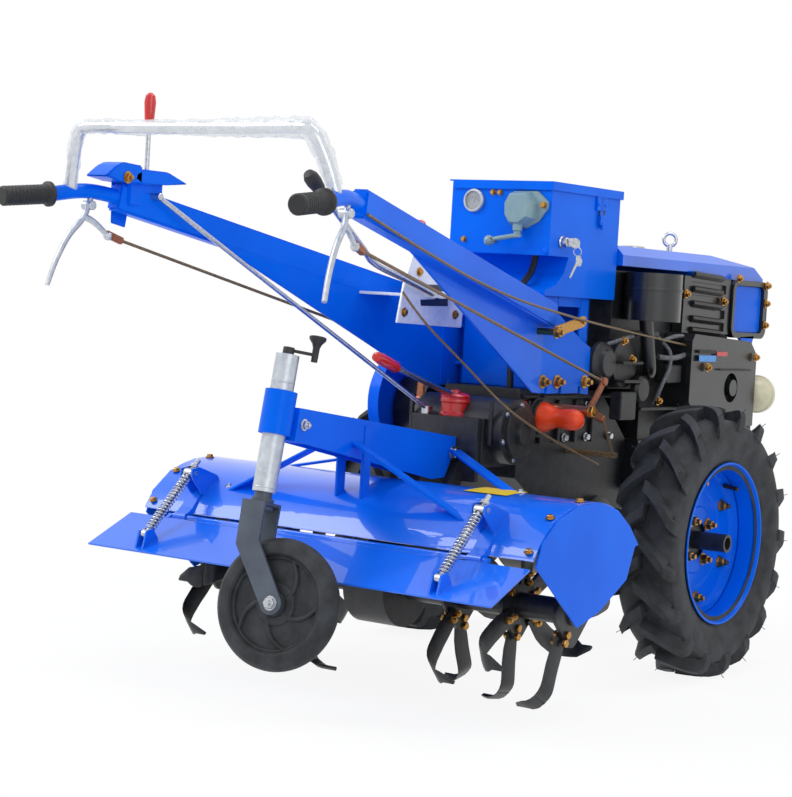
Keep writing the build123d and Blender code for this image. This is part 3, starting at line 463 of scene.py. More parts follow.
def set_stage():
    scene = bpy.context.scene
    look = scene.tiller_look
    scene.view_settings.view_transform = "Standard"
    # The photograph's camera, worked out from both driving wheels
    right = Vector((0.5784, -0.8136, 0.0589))
    down = Vector((-0.0055, -0.0761, -0.9971))
    ahead = Vector((0.8157, 0.5764, -0.0486))
    camera = bpy.data.objects.new("camera", bpy.data.cameras.new("camera"))
    camera.data.sensor_fit = "HORIZONTAL"
    camera.data.sensor_width = 36.0
    focal_px = 2111.0
    photo_width_px = 792.0
    camera.data.lens = focal_px / photo_width_px * camera.data.sensor_width
    rows = Matrix((right, -down, -ahead)).transposed().to_4x4()
    camera.matrix_world = Matrix.Translation(place(-3.979, -2.363, 0.757)) @ rows
    scene.collection.objects.link(camera)
    scene.camera = camera

    floor_form = bmesh.new()
    bmesh.ops.create_grid(floor_form, x_segments=1, y_segments=1, size=14.0)
    data = bpy.data.meshes.new("floor")
    floor_form.to_mesh(data)
    floor_form.free()
    floor = bpy.data.objects.new("floor", data)
    scene.collection.objects.link(floor)
    data.materials.append(floor_paper())

    world = bpy.data.worlds.new("studio")
    scene.world = world
    world.use_nodes = True
    tree = world.node_tree
    tree.nodes.clear()
    sky = add(tree, "ShaderNodeBackground", {"Color": (0.93, 0.96, 1.0, 1.0), "Strength": look.room_light})
    white = add(tree, "ShaderNodeBackground", {"Color": (1.0, 1.0, 1.0, 1.0), "Strength": 1.0})
    both = add(tree, "ShaderNodeMixShader", links={0: seen_directly(tree), 1: sky.outputs[0], 2: white.outputs[0]})
    add(tree, "ShaderNodeOutputWorld", links={"Surface": both.outputs[0]})

    lamp_target = Vector((-0.3, 0.0, 0.5))
    for name, at, size, power in (("window", (-2.6, 2.6, 3.4), 2.2, 150.0), ("fill", (-2.4, -3.4, 2.2), 2.6, 55.0),
                                  ("top", (0.6, -0.6, 3.6), 1.6, 45.0)):
        lamp = bpy.data.lights.new(name, "AREA")
        lamp.energy = power * look.lamp_level
        lamp.size = size
        lamp_object = bpy.data.objects.new(name, lamp)
        lamp_object.location = at
        aim = lamp_target - Vector(at)
        lamp_object.rotation_euler = aim.to_track_quat("-Z", "Y").to_euler()
        scene.collection.objects.link(lamp_object)


# Nodes that stay as they are

node_finishes = {
    "blue": ["rim_left", "rim_right", "belt_guard", "box_lid", "control_box", "handle_bracket", "handle_beams",
             "clutch_bracket", "side_plates", "tail_beam", "tail_braces", "side_panel"],
    "blue_flat": ["hood", "rear_flap", "engine_cover"],
    "slate": ["tail_fork", "tail_stem"],
    "black_sheet": ["radiator", "air_cleaner", "muffler_box", "side_grille", "front_guard", "chassis_frame",
                    "front_bumper", "front_stand"],
    "black_cast": ["gearbox", "side_drive_case", "engine_block", "tiller_case", "drive_pulleys"],
    "black_forged": ["hub_left", "hub_right", "rotor_shaft", "tines"],
    "tyre": ["tyre_left", "tyre_right", "tail_wheel"],
    "soft_black": ["grips"],
    "silver_paint": ["tail_post", "hand_levers"],
    "chrome": ["upper_bar"],
    "zinc": ["spring_rods", "rod_swivels", "control_levers"],
    "white_zinc": ["gear_gate"],
    "gold_zinc": ["steering_rods"],
    "orange": ["shaft_cap"],
    "red": ["shift_boot", "lever_knobs"],
    "cream": ["headlamp"],
    "hammer": ["box_dials"],
    "copper_steel": ["bell_cranks"],
}


def set_finishes():
    """Makes the finishes and gives them to the nodes that stay as they are."""
    make_materials()
    for finish, names in node_finishes.items():
        for name in names:
            for slot in nodes[name].material_slots:
                slot.material = materials[finish]


# Driving wheels

lugs_per_side = 17


def tyre_form(side):
    """A carcass with its bead, sidewall and crown, and swept lugs that run down over the shoulder."""
    form = Form()
    centre = place(0.0, side * track_half, axle_z)
    outline = [(0.1535, 0.050), (0.172, 0.052), (0.178, 0.056), (0.186, 0.0575), (0.196, 0.062), (0.212, 0.066),
               (0.230, 0.0665), (0.245, 0.063), (0.252, 0.055), (0.256, 0.040), (0.2575, 0.020), (0.258, 0.0)]
    profile = [(r, -y) for r, y in outline] + [(r, y) for r, y in outline[-2::-1]]
    form.lathe(profile, centre, (0, 1, 0), 6 * lugs_per_side)
    for hand, start in lug_starts():
        lug(form, centre, hand, start)
    return form


def lug_starts():
    """The side of the crown and the angle that each lug starts from; the two sides alternate."""
    return [(hand, 2 * math.pi * (k + (0.5 if hand > 0 else 0.0)) / lugs_per_side)
            for hand in (1, -1) for k in range(lugs_per_side)]


def lug(form, centre, hand, start):
    """One lug: a curved bar from the crown to the shoulder, then down the sidewall."""
    stations = [(-0.006, 0.0, 0.283), (0.012, 0.045, 0.2825), (0.030, 0.105, 0.282), (0.048, 0.180, 0.2805),
                (0.060, 0.240, 0.277), (0.0675, 0.275, 0.266), (0.0695, 0.29, 0.250), (0.0690, 0.296, 0.236)]
    wide_top = 0.0130
    wide_base = 0.0175
    rings = []
    for i, (y, swing, top) in enumerate(stations):
        base = 0.254 if i < 4 else min(0.25, 0.262 - 0.009 * (i - 3))
        base_y = y if i < 5 else 0.058
        spread = 1.0 - 0.15 * i / (len(stations) - 1)
        ring = []
        for level, wide, across in ((base, wide_base, base_y), (top, wide_top * spread, y)):
            for sign in (-1, 1):
                angle = start - swing + sign * wide / level
                ring.append(centre + Vector((level * math.sin(angle), hand * across, level * math.cos(angle))))
        rings.append(form.loop([ring[0], ring[2], ring[3], ring[1]]))
    form.bridge(rings)
    form.cap(rings)


def dress_wheels():
    for word, side in both_sides:
        body = "wheel_" + word
        made = tyre_form(side).done("tyre_tread_" + word, "tyre", "tyre_rubber", body=body, sharp=30.0)
        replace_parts(made, "tyre_" + word)
        hairs = Form()
        root, shoulder_y, lag = 0.275, 0.060, 0.24
        for hand, start in lug_starts():
            angle = start - lag
            at = place(root * math.sin(angle), side * track_half + hand * shoulder_y, axle_z + root * math.cos(angle))
            out = Vector((math.sin(angle), hand * 0.8, math.cos(angle))).normalized()
            hairs.bar(at - out * 0.004, at + out * 0.011, 0.0007, 5)
        hairs.done("mould_hairs_" + word, "tyre", body=body)
        rim = Form()
        dish = [(0.1700, 0.409), (0.1688, 0.411), (0.1655, 0.4105), (0.1630, 0.406), (0.1600, 0.396),
                (0.1575, 0.385), (0.1558, 0.374), (0.1535, 0.362), (0.1490, 0.3515), (0.1430, 0.3462),
                (0.1360, 0.3445), (0.1020, 0.3445), (0.0985, 0.3420), (0.0720, 0.3420), (0.0690, 0.3445),
                (0.0400, 0.3445), (0.0400, 0.3415), (0.0700, 0.3385), (0.1000, 0.3385), (0.1360, 0.3415),
                (0.1440, 0.3415), (0.1470, 0.3300), (0.1510, 0.3120), (0.1560, 0.3020), (0.1655, 0.2955),
                (0.1690, 0.2955), (0.1700, 0.2980), (0.1600, 0.3040), (0.1538, 0.3130), (0.1538, 0.3850),
                (0.1560, 0.3960), (0.1700, 0.4090)]
        rim.lathe([(r, side * y) for r, y in dish], place(0, 0, axle_z), (0, 1, 0), 72)
        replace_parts(rim.done("rim_dish_" + word, "blue", "blue_paint", body=body, sharp=30.0), "rim_" + word)
        bolts = Form()
        out = Vector((0, side, 0))
        disc_y, across = 0.3445, 0.018
        for count, radius, phase in ((6, 0.122, 34), (4, 0.052, 36)):
            for k in range(count):
                a = math.radians(360 / count * k + phase)
                at = place(radius * math.cos(a), side * disc_y, axle_z + radius * math.sin(a))
                bolts.bolt(at, out, across, 0.012, across * 0.74, 0.008)
        bolts.done("wheel_bolts_" + word, "gold_zinc", "steel_bright", body=body)
        a = math.radians(50)
        root = place(0.146 * math.cos(a), side * 0.352, axle_z + 0.146 * math.sin(a))
        tip = root + out * 0.036 - Vector((math.cos(a), 0, math.sin(a))) * 0.006
        Form().bar(root, tip, 0.0048, 12, 0.001).done("valve_" + word, "soft_black", body=body)


# Bolts, springs and small hardware


def dress_hardware():
    for word, side in both_sides:
        pin = place(-0.956, side * 0.341, 0.273)
        eye = place(-0.837, side * 0.341, 0.387)
        way = (eye - pin).normalized()
        start = pin + way * 0.014
        end = eye - way * 0.011
        coil = Form().coil(start, end, 0.0088, 0.0016, 19)
        spring = coil.done("flap_spring_" + word, "zinc", "steel_bright", body="flap_rods")
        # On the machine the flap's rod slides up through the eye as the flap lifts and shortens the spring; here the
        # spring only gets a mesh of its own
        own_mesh(spring)
    fixings = Form()
    for side in (1, -1):
        for x, z in ((-0.662, 0.4035), (-0.762, 0.379), (-0.828, 0.322)):
            lean = Vector((-0.25 if x < -0.7 else 0.0, 0, 1)).normalized()
            fixings.bolt(place(x, side * 0.440, z), lean, *sheet_bolt)
    fixings.done("hood_bolts", "gold_zinc", "steel_bright")


# Handles


def dress_frame():
    """The handle beams with the deep plates that widen them, their tubes, the gussets and the post."""
    frame_form = Form()
    for side in (1, -1):
        frame_form.beam(mm(-1165, side * 274, 906), mm(-300, side * 134, 735), 0.032, 0.050, 0.004)
        deep_line = [(-935, 845), (-930, 834), (-345, 578), (-300, 575), (-300, 735)]
        splay = (134 - 274) / (1165 - 300)
        inner = [mm(x, side * (134 + splay * (x + 300) - 11), z) for x, z in deep_line]
        frame_form.prism(inner, (0, -side * 0.005, 0), 0.0008)
        frame_form.tube(route([(-1296, 305, 900), (-1225, 290, 911), (-1165, 274, 906), (-1120, 267, 897)], side),
                        0.0135, 20, 8)
        notches = [(-310, 577)]
        for x in (-284, -228, -150):
            notches += [(x - 5, 576), (x - 5, 590), (x + 5, 590), (x + 5, 575)]
        outline = notches + [(-112, 573), (-112, 672), (-150, 686), (-300, 766), (-310, 764)]
        frame_form.side(outline, side * 118, side * 124)
        for x0, x1, z0, z1, bevel in ((-265, -215, 582, 775, 0.002), (-125, -85, 582, 775, 0.002),
                                      (-215, -125, 755, 775, 0.0), (-215, -125, 582, 640, 0.0)):
            frame_form.block(mm(x0, side * 97 - 3, z0), mm(x1, side * 97 + 3, z1), bevel)
        for z in (620, 700):
            frame_form.block(mm(-261, side * 108 - 12, z), mm(-221, side * 108 + 12, z + 8), 0.001)
    for x in (-265, -91):
        frame_form.block(mm(x, -100, 582), mm(x + 6, 100, 775), 0.001)
    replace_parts(frame_form.done("handle_frame", "blue", "blue_paint"), "handle_beams", "handle_bracket")

    clutch_cover = Form()
    clutch_cover.side([(-1150, 938), (-1146, 950), (-1130, 958), (-1060, 958), (-1004, 940), (-1060, 934),
                       (-1130, 930)], 238, 290, 0.003)
    clutch_cover.side([(-1227, 938), (-1200, 958), (-1180, 967), (-1130, 964), (-1130, 930), (-1180, 932)], 238, 290,
                      0.003)
    clutch_cover.block(mm(-1150, 250, 890), mm(-1060, 278, 940), 0.003)
    clutch_cover.side([(-1158, 940), (-1154, 858), (-1118, 852), (-1102, 940)], 286, 290, 0.001)
    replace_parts(clutch_cover.done("clutch_cover", "blue", "blue_paint"), "clutch_bracket")

    bolts = Form()
    for x, y, z, side in ((-1136, 290, 905, 1), (-1134, 290, 872, 1), (-1170, 238, 940, -1)):
        bolts.bolt(mm(x, y, z), (0, side, 0), 0.013, 0.007, 0.011, 0.004)
    for side in (1, -1):
        for x in (-299, -242, -131):
            bolts.bolt(mm(x, side * 124, 600), (0, side, 0), *frame_bolt)
            bolts.bar(mm(x, side * 122, 600), mm(x, side * 126, 600), 0.0135, 20)
    bolts.done("frame_bolts", "gold_zinc", "steel_bright")


def dress_handles():
    """The ribbed grips, the hand levers and the wrapped bar between the handles."""
    for word, side in both_sides:
        a = place(-1.295, side * 0.305, 0.900)
        b = place(-1.392, side * 0.325, 0.889)
        way = (b - a).normalized()
        length = (b - a).length
        profile = [(0.0135, 0.0), (0.0222, 0.0), (0.0225, 0.003), (0.0225, 0.006), (0.018, 0.009)]
        ribs = 11
        for k in range(ribs):
            t = 0.014 + (length - 0.026) * k / (ribs - 1)
            profile += [(0.0176, t - 0.0026), (0.0164, t - 0.0016), (0.0164, t + 0.0016), (0.0176, t + 0.0026)]
        profile += [(0.0176, length - 0.003), (0.015, length), (0.0, length)]
        grip = Form().lathe([(0.0, 0.0)] + profile, a, way, 28).done("hand_grip_" + word, "soft_black")
        if side < 0:
            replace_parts(grip, "grips")
        lever = Form()
        lever.tube(route([(-1206, 287, 912), (-1214, 288, 890), (-1222, 291, 864), (-1250, 298, 830),
                          (-1272, 304, 786), (-1287, 309, 740)], side),
                   lambda t: 0.0085 if t < 0.45 else 0.0095 - 0.004 * (t - 0.45), 14, 6, 0.62)
        lever.tube(route([(-1222, 291, 866), (-1200, 285, 856), (-1171, 278, 834)], side),
                   lambda t: 0.0085 - 0.002 * t, 12, 6, 0.7)
        lever.ball(mm(-1171, side * 278, 834), 0.0085)
        lever.bar(mm(-1214, side * 288 - 12, 886), mm(-1214, side * 288 + 12, 886), 0.0085, 16, 0.001)
        made = lever.done("hand_lever_" + word, "silver_paint", "steel_bright")
        clevis = Form()
        clevis.beam(mm(-1176, side * 279, 838), mm(-1140, side * 272, 826), 0.011, 0.013, 0.0015)
        clevis.bar(mm(-1168, side * 270, 834), mm(-1168, side * 286, 834), 0.004, 12, 0.0005)
        clevis.done("lever_clevis_" + word, "copper_steel", "rust_steel")
        if side < 0:
            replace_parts(made, "hand_levers")

    corners = [(-1255, 296, 912), (-1262, 286, 950), (-1270, 273, 985), (-1277, 258, 1012), (-1278, 230, 1020),
               (-1278, 120, 1019), (-1278, 0, 1019)]
    line = route(corners) + route(corners[-2::-1], -1)
    bar = Form().tube(line, 0.0105, 18, 6).done("cross_bar", "chrome", "steel_bright")
    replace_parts(bar, "upper_bar")
    # The film lies thicker where it is wound round the right corner
    film = Form().tube(line, lambda t: 0.0128 + 0.0052 * max(0.0, math.sin(math.pi * (1.9 * t - 0.9))), 18, 16)
    folds_per_metre, fold_depth = 70, 0.0042
    for vert in film.mesh.verts:
        spot = vert.co * folds_per_metre
        push = [noise.noise(spot + Vector(shift)) for shift in ((0, 0, 0), (7, 1, 3), (2, 9, 5))]
        vert.co += Vector(push) * fold_depth
    film.done("bar_film", "film", sharp=60.0)


def dress_levers():
    """The gear gate, the gear, clutch and drive rods with their knobs, and the boot on the drive rod."""
    gate = Form()
    gate.side([(-654, 705), (-638, 779), (-611, 842), (-545, 808), (-427, 736), (-430, 700)], -6, 0, 0.0012)
    gate.block(mm(-560, -160, 757), mm(-470, 160, 763), 0.001)
    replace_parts(gate.done("gate_plate", "white_zinc", "steel_bright"), "gear_gate")
    # Black fills painted as the shade seen through the gate's three openings
    gate_shade = Form()
    for outline in ([(-570, 782), (-504, 784), (-500, 771), (-566, 769)],
                    [(-532, 772), (-518, 772), (-516, 755), (-530, 754)],
                    [(-582, 752), (-486, 757), (-484, 742), (-578, 740)]):
        gate_shade.side(outline, 0.4, -6.4)
    gate_shade.done("gate_slot_shade", "black_sheet")
    gate_bolts = Form()
    for x, z in ((-634, 726), (-457, 726), (-590, 806)):
        for y, way in ((-6, -1), (0, 1)):
            gate_bolts.bolt(mm(x, y, z), (0, way, 0), *sheet_bolt)
    gate_bolts.done("gate_bolts", "gold_zinc", "steel_bright")

    rods = Form()
    rods.bar(mm(-1097, 260, 955), mm(-1097, 260, 1035), 0.0045, 12)
    rods.bar(mm(-1091, 232, 911), mm(-447, 54, 532), 0.0045, 12)
    rods.block(mm(-456, 46, 522), mm(-438, 62, 538), 0.001)
    rods.bar(mm(-1091, 226, 911), mm(-1091, 252, 911), 0.007, 14, 0.001)
    rods.tube(route([(-550, -20, 763), (-660, -20, 790), (-760, -20, 815), (-800, -20, 842), (-940, -20, 940)]),
              0.006, 12, 6)
    rods.bar(mm(-500, 20, 763), mm(-555, 20, 885), 0.006, 12)
    rods.bar(mm(-420, 5, 560), mm(-690, -36, 620), 0.006, 12)
    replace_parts(rods.done("lever_rods", "zinc", "steel_bright"), "control_levers")
    knobs = Form()
    knobs.lathe([(0, 0), (0.007, 0), (0.009, 0.020), (0.011, 0.050), (0.009, 0.062), (0.004, 0.067), (0, 0.068)],
                mm(-1097, 260, 1032), (0, 0, 1), 24)
    knobs.bar(mm(-553, 20, 880), mm(-566, 20, 905), 0.013, 20, 0.004)
    knobs.lathe([(0, 0), (0.009, 0), (0.0115, 0.006), (0.0118, 0.07), (0.0095, 0.090), (0, 0.094)],
                mm(-690, -36, 620), mm(-780, -50, 642) - mm(-690, -36, 620), 24)
    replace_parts(knobs.done("red_knobs", "red", "red_plastic"), "lever_knobs")
    knob = Form().lathe(
        [(0, 0), (0.008, 0), (0.012, 0.010), (0.0145, 0.030), (0.0140, 0.042), (0.0095, 0.052), (0, 0.055)],
        mm(-935, -20, 936.5), mm(-968, -20, 960) - mm(-935, -20, 936.5), 24)
    knob.done("gear_knob", "soft_black")
    boot = Form()
    boot.lathe([(0, 0), (0.031, 0), (0.031, 0.004), (0.028, 0.008), (0.028, 0.026), (0.0305, 0.028), (0.0305, 0.033),
                (0.029, 0.036), (0.030, 0.040), (0.027, 0.044), (0.021, 0.046), (0.019, 0.041), (0.012, 0.041),
                (0.010, 0.052), (0, 0.054)], mm(-420, 5, 522), (0, 0, 1), 36)
    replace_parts(boot.done("lever_boot", "red", "red_plastic"), "shift_boot")
    cap = Form()
    cap.lathe([(0, 0), (0.029, 0.0), (0.032, 0.004), (0.032, 0.018), (0.0295, 0.026), (0.0235, 0.040),
               (0.0190, 0.052), (0.0190, 0.060), (0.0208, 0.070), (0.0222, 0.084), (0.0205, 0.098), (0.0150, 0.107),
               (0.007, 0.1115), (0, 0.112)], mm(-262, -92, 526), (0, -1, 0), 36)
    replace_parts(cap.done("end_cap", "orange", "orange_plastic"), "shaft_cap")


def dress_cranks():
    """The plated steering cranks, their rods and the cables that the frame holds."""
    cranks = Form()
    for x, z in ((-185, 606), (-180, 528)):
        cranks.beam(mm(-240, -203, 545), mm(x, -203, z), 0.005, 0.018, 0.002)
    for x, y0, y1, z, radius, steps in ((-240, -94, -206, 545, 0.010, 20), (-185, -196, -208, 606, 0.009, 18),
                                        (-180, -196, -207, 528, 0.0075, 18), (-350, 60, 146, 545, 0.009, 18)):
        cranks.bar(mm(x, y0, z), mm(x, y1, z), radius, steps, 0.001)
    cranks.beam(mm(-350, 140, 545), mm(-345, 140, 640), 0.006, 0.018, 0.002, (0, 1, 0))
    cranks.ball(mm(-345, 140, 640), 0.009)
    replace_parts(cranks.done("steering_cranks", "copper_steel", "rust_steel"), "bell_cranks")
    lever = Form()
    lever.side([(-337, 692), (-226, 716), (-219, 721), (-217, 729), (-222, 737), (-232, 738), (-341, 714)],
               -172, -168, 0.0008)
    lever.bar(mm(-230, -166, 727), mm(-230, -176, 727), 0.005, 14, 0.0005)
    lever.bar(mm(-335, -128, 703), mm(-335, -172, 703), 0.007, 16, 0.0005)
    lever.bolt(mm(-335, -172, 703), (0, -1, 0), 0.020, 0.010, 0.013, 0.006)
    lever.bolt(mm(-240, -206, 545), (0, -1, 0), 0.020, 0.009, 0.013, 0.005)
    lever.done("plated_lever", "gold_zinc", "steel_bright")
    links = Form()
    links.bar(mm(-1150, -274, 829), mm(-185, -200, 606), 0.003, 12)
    links.bar(mm(-1150, 274, 829), mm(-345, 140, 640), 0.003, 12)
    links.bar(mm(-180, -202, 528), mm(-130, -205, 452), 0.0028, 10)
    links.bar(mm(-130, -213, 452), mm(-130, -92, 452), 0.006, 12)
    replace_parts(links.done("steering_links", "cable", "steel_bright"), "steering_rods")
    hose("hand_cable", route([(-1160, -292, 888), (-956, -262, 839), (-612, -212, 770), (-240, -176, 729),
                              (0, -168, 707), (250, -156, 685)]), 0.0050, "cable")
    hose("case_cable", route([(-645, -8, 765), (-636, -50, 712), (-560, -95, 640), (-463, -132, 556),
                              (-352, -146, 505), (-180, -142, 453), (-52, -126, 423)]), 0.0050, "cable")
    hose("box_loom", route([(-236, -50, 860), (-238, -50, 830), (-275, -50, 800), (-308, -50, 770),
                            (-312, -50, 700), (-306, -52, 582)]), 0.0140, "soft_black")


def hose(name, points, diameter, finish):
    """A cable or hose held at both ends, on one smooth line."""
    curve = bpy.data.curves.new(name, "CURVE")
    curve.dimensions = "3D"
    curve.bevel_depth = diameter / 2
    curve.bevel_resolution = 4
    curve.resolution_u = 10
    curve.use_fill_caps = True
    spline = curve.splines.new("NURBS")
    spline.points.add(len(points) - 1)
    for knot, point in zip(spline.points, points):
        knot.co = (*point, 1.0)
    spline.order_u = 3
    spline.use_endpoint_u = True
    made = bpy.data.objects.new(name, curve)
    bpy.context.scene.collection.objects.link(made)
    curve.materials.append(materials[finish])
    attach(made, "chassis")
    bare = curve.copy()
    bare.bevel_depth = 0.0
    probe = bpy.data.objects.new(name + "_line", bare)
    line = bpy.data.meshes.new_from_object(probe)
    bpy.data.objects.remove(probe)


# Tiller and tail wheel


rotor_x, rotor_z = -630.0, 195.0
rotor_tip = 188.0


def hoe_blade(form, root_y, bend, turn):
    """A blade whose shank curves back from its flange and whose broad tip is bent over to the side."""
    level = rotor_tip - 8.0
    bend_r = 40.0
    angle = math.radians(turn)
    stations = [(39.0, 0.0, 0.0), (60.0, 0.0, 0.0), (85.0, 0.0, 0.0), (110.0, 0.0, 0.0), (level - bend_r, 0.0, 0.0)]
    for i in range(1, 7):
        a = math.radians(15 * i)
        stations.append((level - bend_r + bend_r * math.sin(a), bend_r * (1 - math.cos(a)), a))
    stations.append((level, 62.0, math.pi / 2))
    rings = []
    for i, (z, y, tilt) in enumerate(stations):
        along = z + y * 0.6
        half_width = 14.0 + 8.0 * min(1.0, (along - 39) / 50)
        swept = -30.0 * max(0.0, (along - 90) / 125) ** 1.5
        lead, trail = swept + half_width, swept - half_width
        if i == len(stations) - 1:
            lead -= 14.0
        # The blade is cut back where it would pass its tip circle
        half = 4.0
        reach = math.sqrt(max(0.0, (rotor_tip - 1.0) ** 2 - (z + half) ** 2))
        trail = max(trail, -reach)
        ring = []
        for x, offset in ((lead, 0.0), (lead - 9.0, 1.0), (trail + 2.0, 1.0), (trail, 0.0), (trail + 2.0, -1.0),
                          (lead - 9.0, -1.0)):
            py = root_y + bend * (y - offset * half * math.cos(tilt))
            pz = z - offset * half * math.sin(tilt)
            rx = x * math.cos(angle) + pz * math.sin(angle)
            rz = -x * math.sin(angle) + pz * math.cos(angle)
            ring.append(mm(rotor_x + rx, py, rotor_z + rz))
        rings.append(form.loop(ring))
    form.bridge(rings)
    form.cap(rings)


def dress_rotor():
    """The rotor's tube and square flanges, its hoe blades and their bolts."""
    shaft = Form()
    blades = Form()
    bolts = Form()
    flange_half = 52.0
    corner = 20.0
    diagonal = 0.7071
    for side in (1, -1):
        shaft.bar(mm(rotor_x, side * 56, rotor_z), mm(rotor_x, side * 430, rotor_z), 0.024, 28, 0.002)
        flange_ys = (175.0, 305.0, 420.0)
        for i, y in enumerate(flange_ys):
            outline = []
            for k in range(4):
                mid = math.radians(90 * k + 45)
                cx, cz = (math.copysign(flange_half - corner, v) for v in (math.cos(mid), math.sin(mid)))
                for j in range(5):
                    a = math.radians(90 * k + 22.5 * j)
                    px, pz = cx + corner * math.cos(a), cz + corner * math.sin(a)
                    outline.append((rotor_x + (px - pz) * diagonal, rotor_z + (px + pz) * diagonal))
            shaft.side(outline, side * (y - 4), side * (y + 4), 0.0006)
            for k in range(6):
                # The outermost flange has only the blades that bend inwards
                outermost = y == flange_ys[-1]
                if outermost and k % 2 == 0:
                    continue
                bend = 1 if k % 2 == 0 else -1
                turn = 60.0 * k + 20.0 * i + 12.0 * side
                hoe_blade(blades, side * (y + bend * 8.0), side * bend, turn)
                a = math.radians(turn)
                for r in (44.0, 60.0):
                    x, z = rotor_x + r * math.sin(a), rotor_z + r * math.cos(a)
                    bolts.bolt(mm(x, side * (y + bend * 12.0), z), (0, side * bend, 0), 0.014, 0.008, 0.0, 0.003)
                    bolts.bolt(mm(x, side * (y - bend * 4.0), z), (0, -side * bend, 0), 0.014, 0.006)
    shaft.bar(mm(rotor_x, -56, rotor_z), mm(rotor_x, 56, rotor_z), 0.014, 20)
    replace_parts(shaft.done("rotor_tube", "black_forged", "cast_black", body="rotor"), "rotor_shaft")
    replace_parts(blades.done("hoe_blades", "black_forged", "steel_dark", body="rotor", sharp=25.0), "tines")
    bolts.done("blade_bolts", "gold_zinc", "steel_bright", body="rotor")


post_foot = Vector((-1028, 0, 392))
post_axis = Vector((0.1869, 0.0, 0.9824))
post_length = 251.4


def on_post(height, across=0.0, behind=0.0):
    """A point by its height up the post and its place beside it, in millimetres."""
    back = Vector((-post_axis.z, 0, post_axis.x))
    return mm(*(post_foot + post_axis * height + Vector((0, across, 0)) + back * behind))


def dress_tail():
    """The post with its crank, the flat braces, and the tail wheel with its vanes and bolt."""
    post = Form()
    post.lathe([(0.016, 0.0), (0.0215, 0.0), (0.0215, post_length / 1000), (0.0, post_length / 1000)], on_post(0),
               post_axis, 36)
    for height in (8, 200):
        post.ring(on_post(height), post_axis, 0.0213, 0.0008, 36, 6)
    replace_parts(post.done("post_tube", "silver_paint", "steel_bright"), "tail_post")
    crank = Form()
    crank.bar(on_post(post_length), on_post(post_length + 14), 0.0105, 20, 0.001)
    crank.beam(on_post(post_length + 9), on_post(post_length + 9, -32, -38), 0.012, 0.006, 0.0015)
    crank.lathe([(0, 0), (0.006, 0), (0.0065, 0.026), (0.009, 0.033), (0.0155, 0.041), (0.0160, 0.046),
                 (0.013, 0.0475), (0.006, 0.043), (0, 0.042)], on_post(post_length - 4, -32, -38), post_axis, 28)
    crank.done("post_crank", "black_cast", "cast_black")

    braces = Form()
    for side in (1, -1):
        braces.beam(mm(-800, side * 26, 480), mm(-780, side * 285, 352), 0.026, 0.005, 0.001)
        braces.beam(mm(-466, side * 26, 458), mm(-640, side * 300, 392), 0.026, 0.005, 0.001)
        braces.block(mm(-775, side * 29 - 3, 350), mm(-750, side * 29 + 3, 510), 0.001)
        braces.block(mm(-798, side * 287 - 14, 346), mm(-760, side * 287 + 14, 351), 0.001)
    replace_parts(braces.done("flat_braces", "blue", "blue_paint"), "tail_braces")
    brace_bolts = Form()
    for side in (1, -1):
        brace_bolts.bolt(mm(-780, side * 287, 356), (0, 0, 1), *brace_bolt)
        brace_bolts.bolt(mm(-628, side * 292, 398), (0, 0, 1), 0.013, 0.007, 0.010, 0.004)
        brace_bolts.bolt(mm(-470, side * 30, 450), (0, side, 0), 0.019, 0.010, 0.014, 0.005)
        brace_bolts.bolt(mm(-960, side * 30, 514), (0, side, 0), *brace_bolt)
    # A blank patch laid on the hood's curve, where the sticker is
    hood_label = Form()
    hood_line = [(-612, 404.9), (-640, 404.4), (-668, 403.2), (-690, 401.8)]
    hood_label.bridge([hood_label.loop(mm(x, y, z) for y in (-205, -300)) for x, z in hood_line], closed=False)
    hood_label.done("hood_label", "label_yellow")
    brace_bolts.done("brace_bolts", "zinc", "steel_bright")

    axis = Vector((-0.964324, -0.190809, 0.183495)).normalized()
    centre = Vector((-0.704205, -0.065769, 0.19903))
    wheel = Form()
    half = [(0.0073, 0.024), (0.021, 0.024), (0.0225, 0.0225), (0.024, 0.009), (0.084, 0.008), (0.0865, 0.018),
            (0.090, 0.0215), (0.098, 0.0215), (0.109, 0.0185), (0.1155, 0.012), (0.1185, 0.004), (0.119, 0.0)]
    wheel.lathe([(r, -h) for r, h in half] + [(r, h) for r, h in half[-2::-1]], centre, axis, 72)
    side_way = axis.orthogonal().normalized()
    other = axis.cross(side_way)
    vanes, vane_y = 5, 0.0105
    for k in range(vanes):
        for hand in (1, -1):
            sweep_line = []
            for t in (0.0, 0.33, 0.66, 1.0):
                a = 2 * math.pi * k / vanes + 0.85 * t * hand
                way = side_way * math.cos(a) + other * math.sin(a)
                sweep_line.append(centre + way * (0.024 + 0.061 * t) + axis * (hand * vane_y))
            wheel.tube(sweep_line, lambda t: 0.0058 - 0.002 * t, 8, 5)
    for hand in (1, -1):
        wheel.lathe([(0.024, 0.007), (0.038, 0.007), (0.038, 0.012), (0.034, 0.0145), (0.024, 0.0145)], centre,
                    axis * hand, 48)
        wheel.ring(centre + axis * (hand * vane_y), axis, 0.0835, 0.0035, 56, 8)
    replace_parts(wheel.done("roller_wheel", "tyre", "tyre_rubber", body="tail_roller", sharp=28.0), "tail_wheel")
    axle = Form()
    for hand in (1, -1):
        axle.bolt(centre + axis * (hand * 0.0325), axis * hand, 0.019, 0.009, 0.013, 0.005)
    axle.done("roller_bolt", "zinc", "steel_bright", body="tail_swivel")


# Engine and box


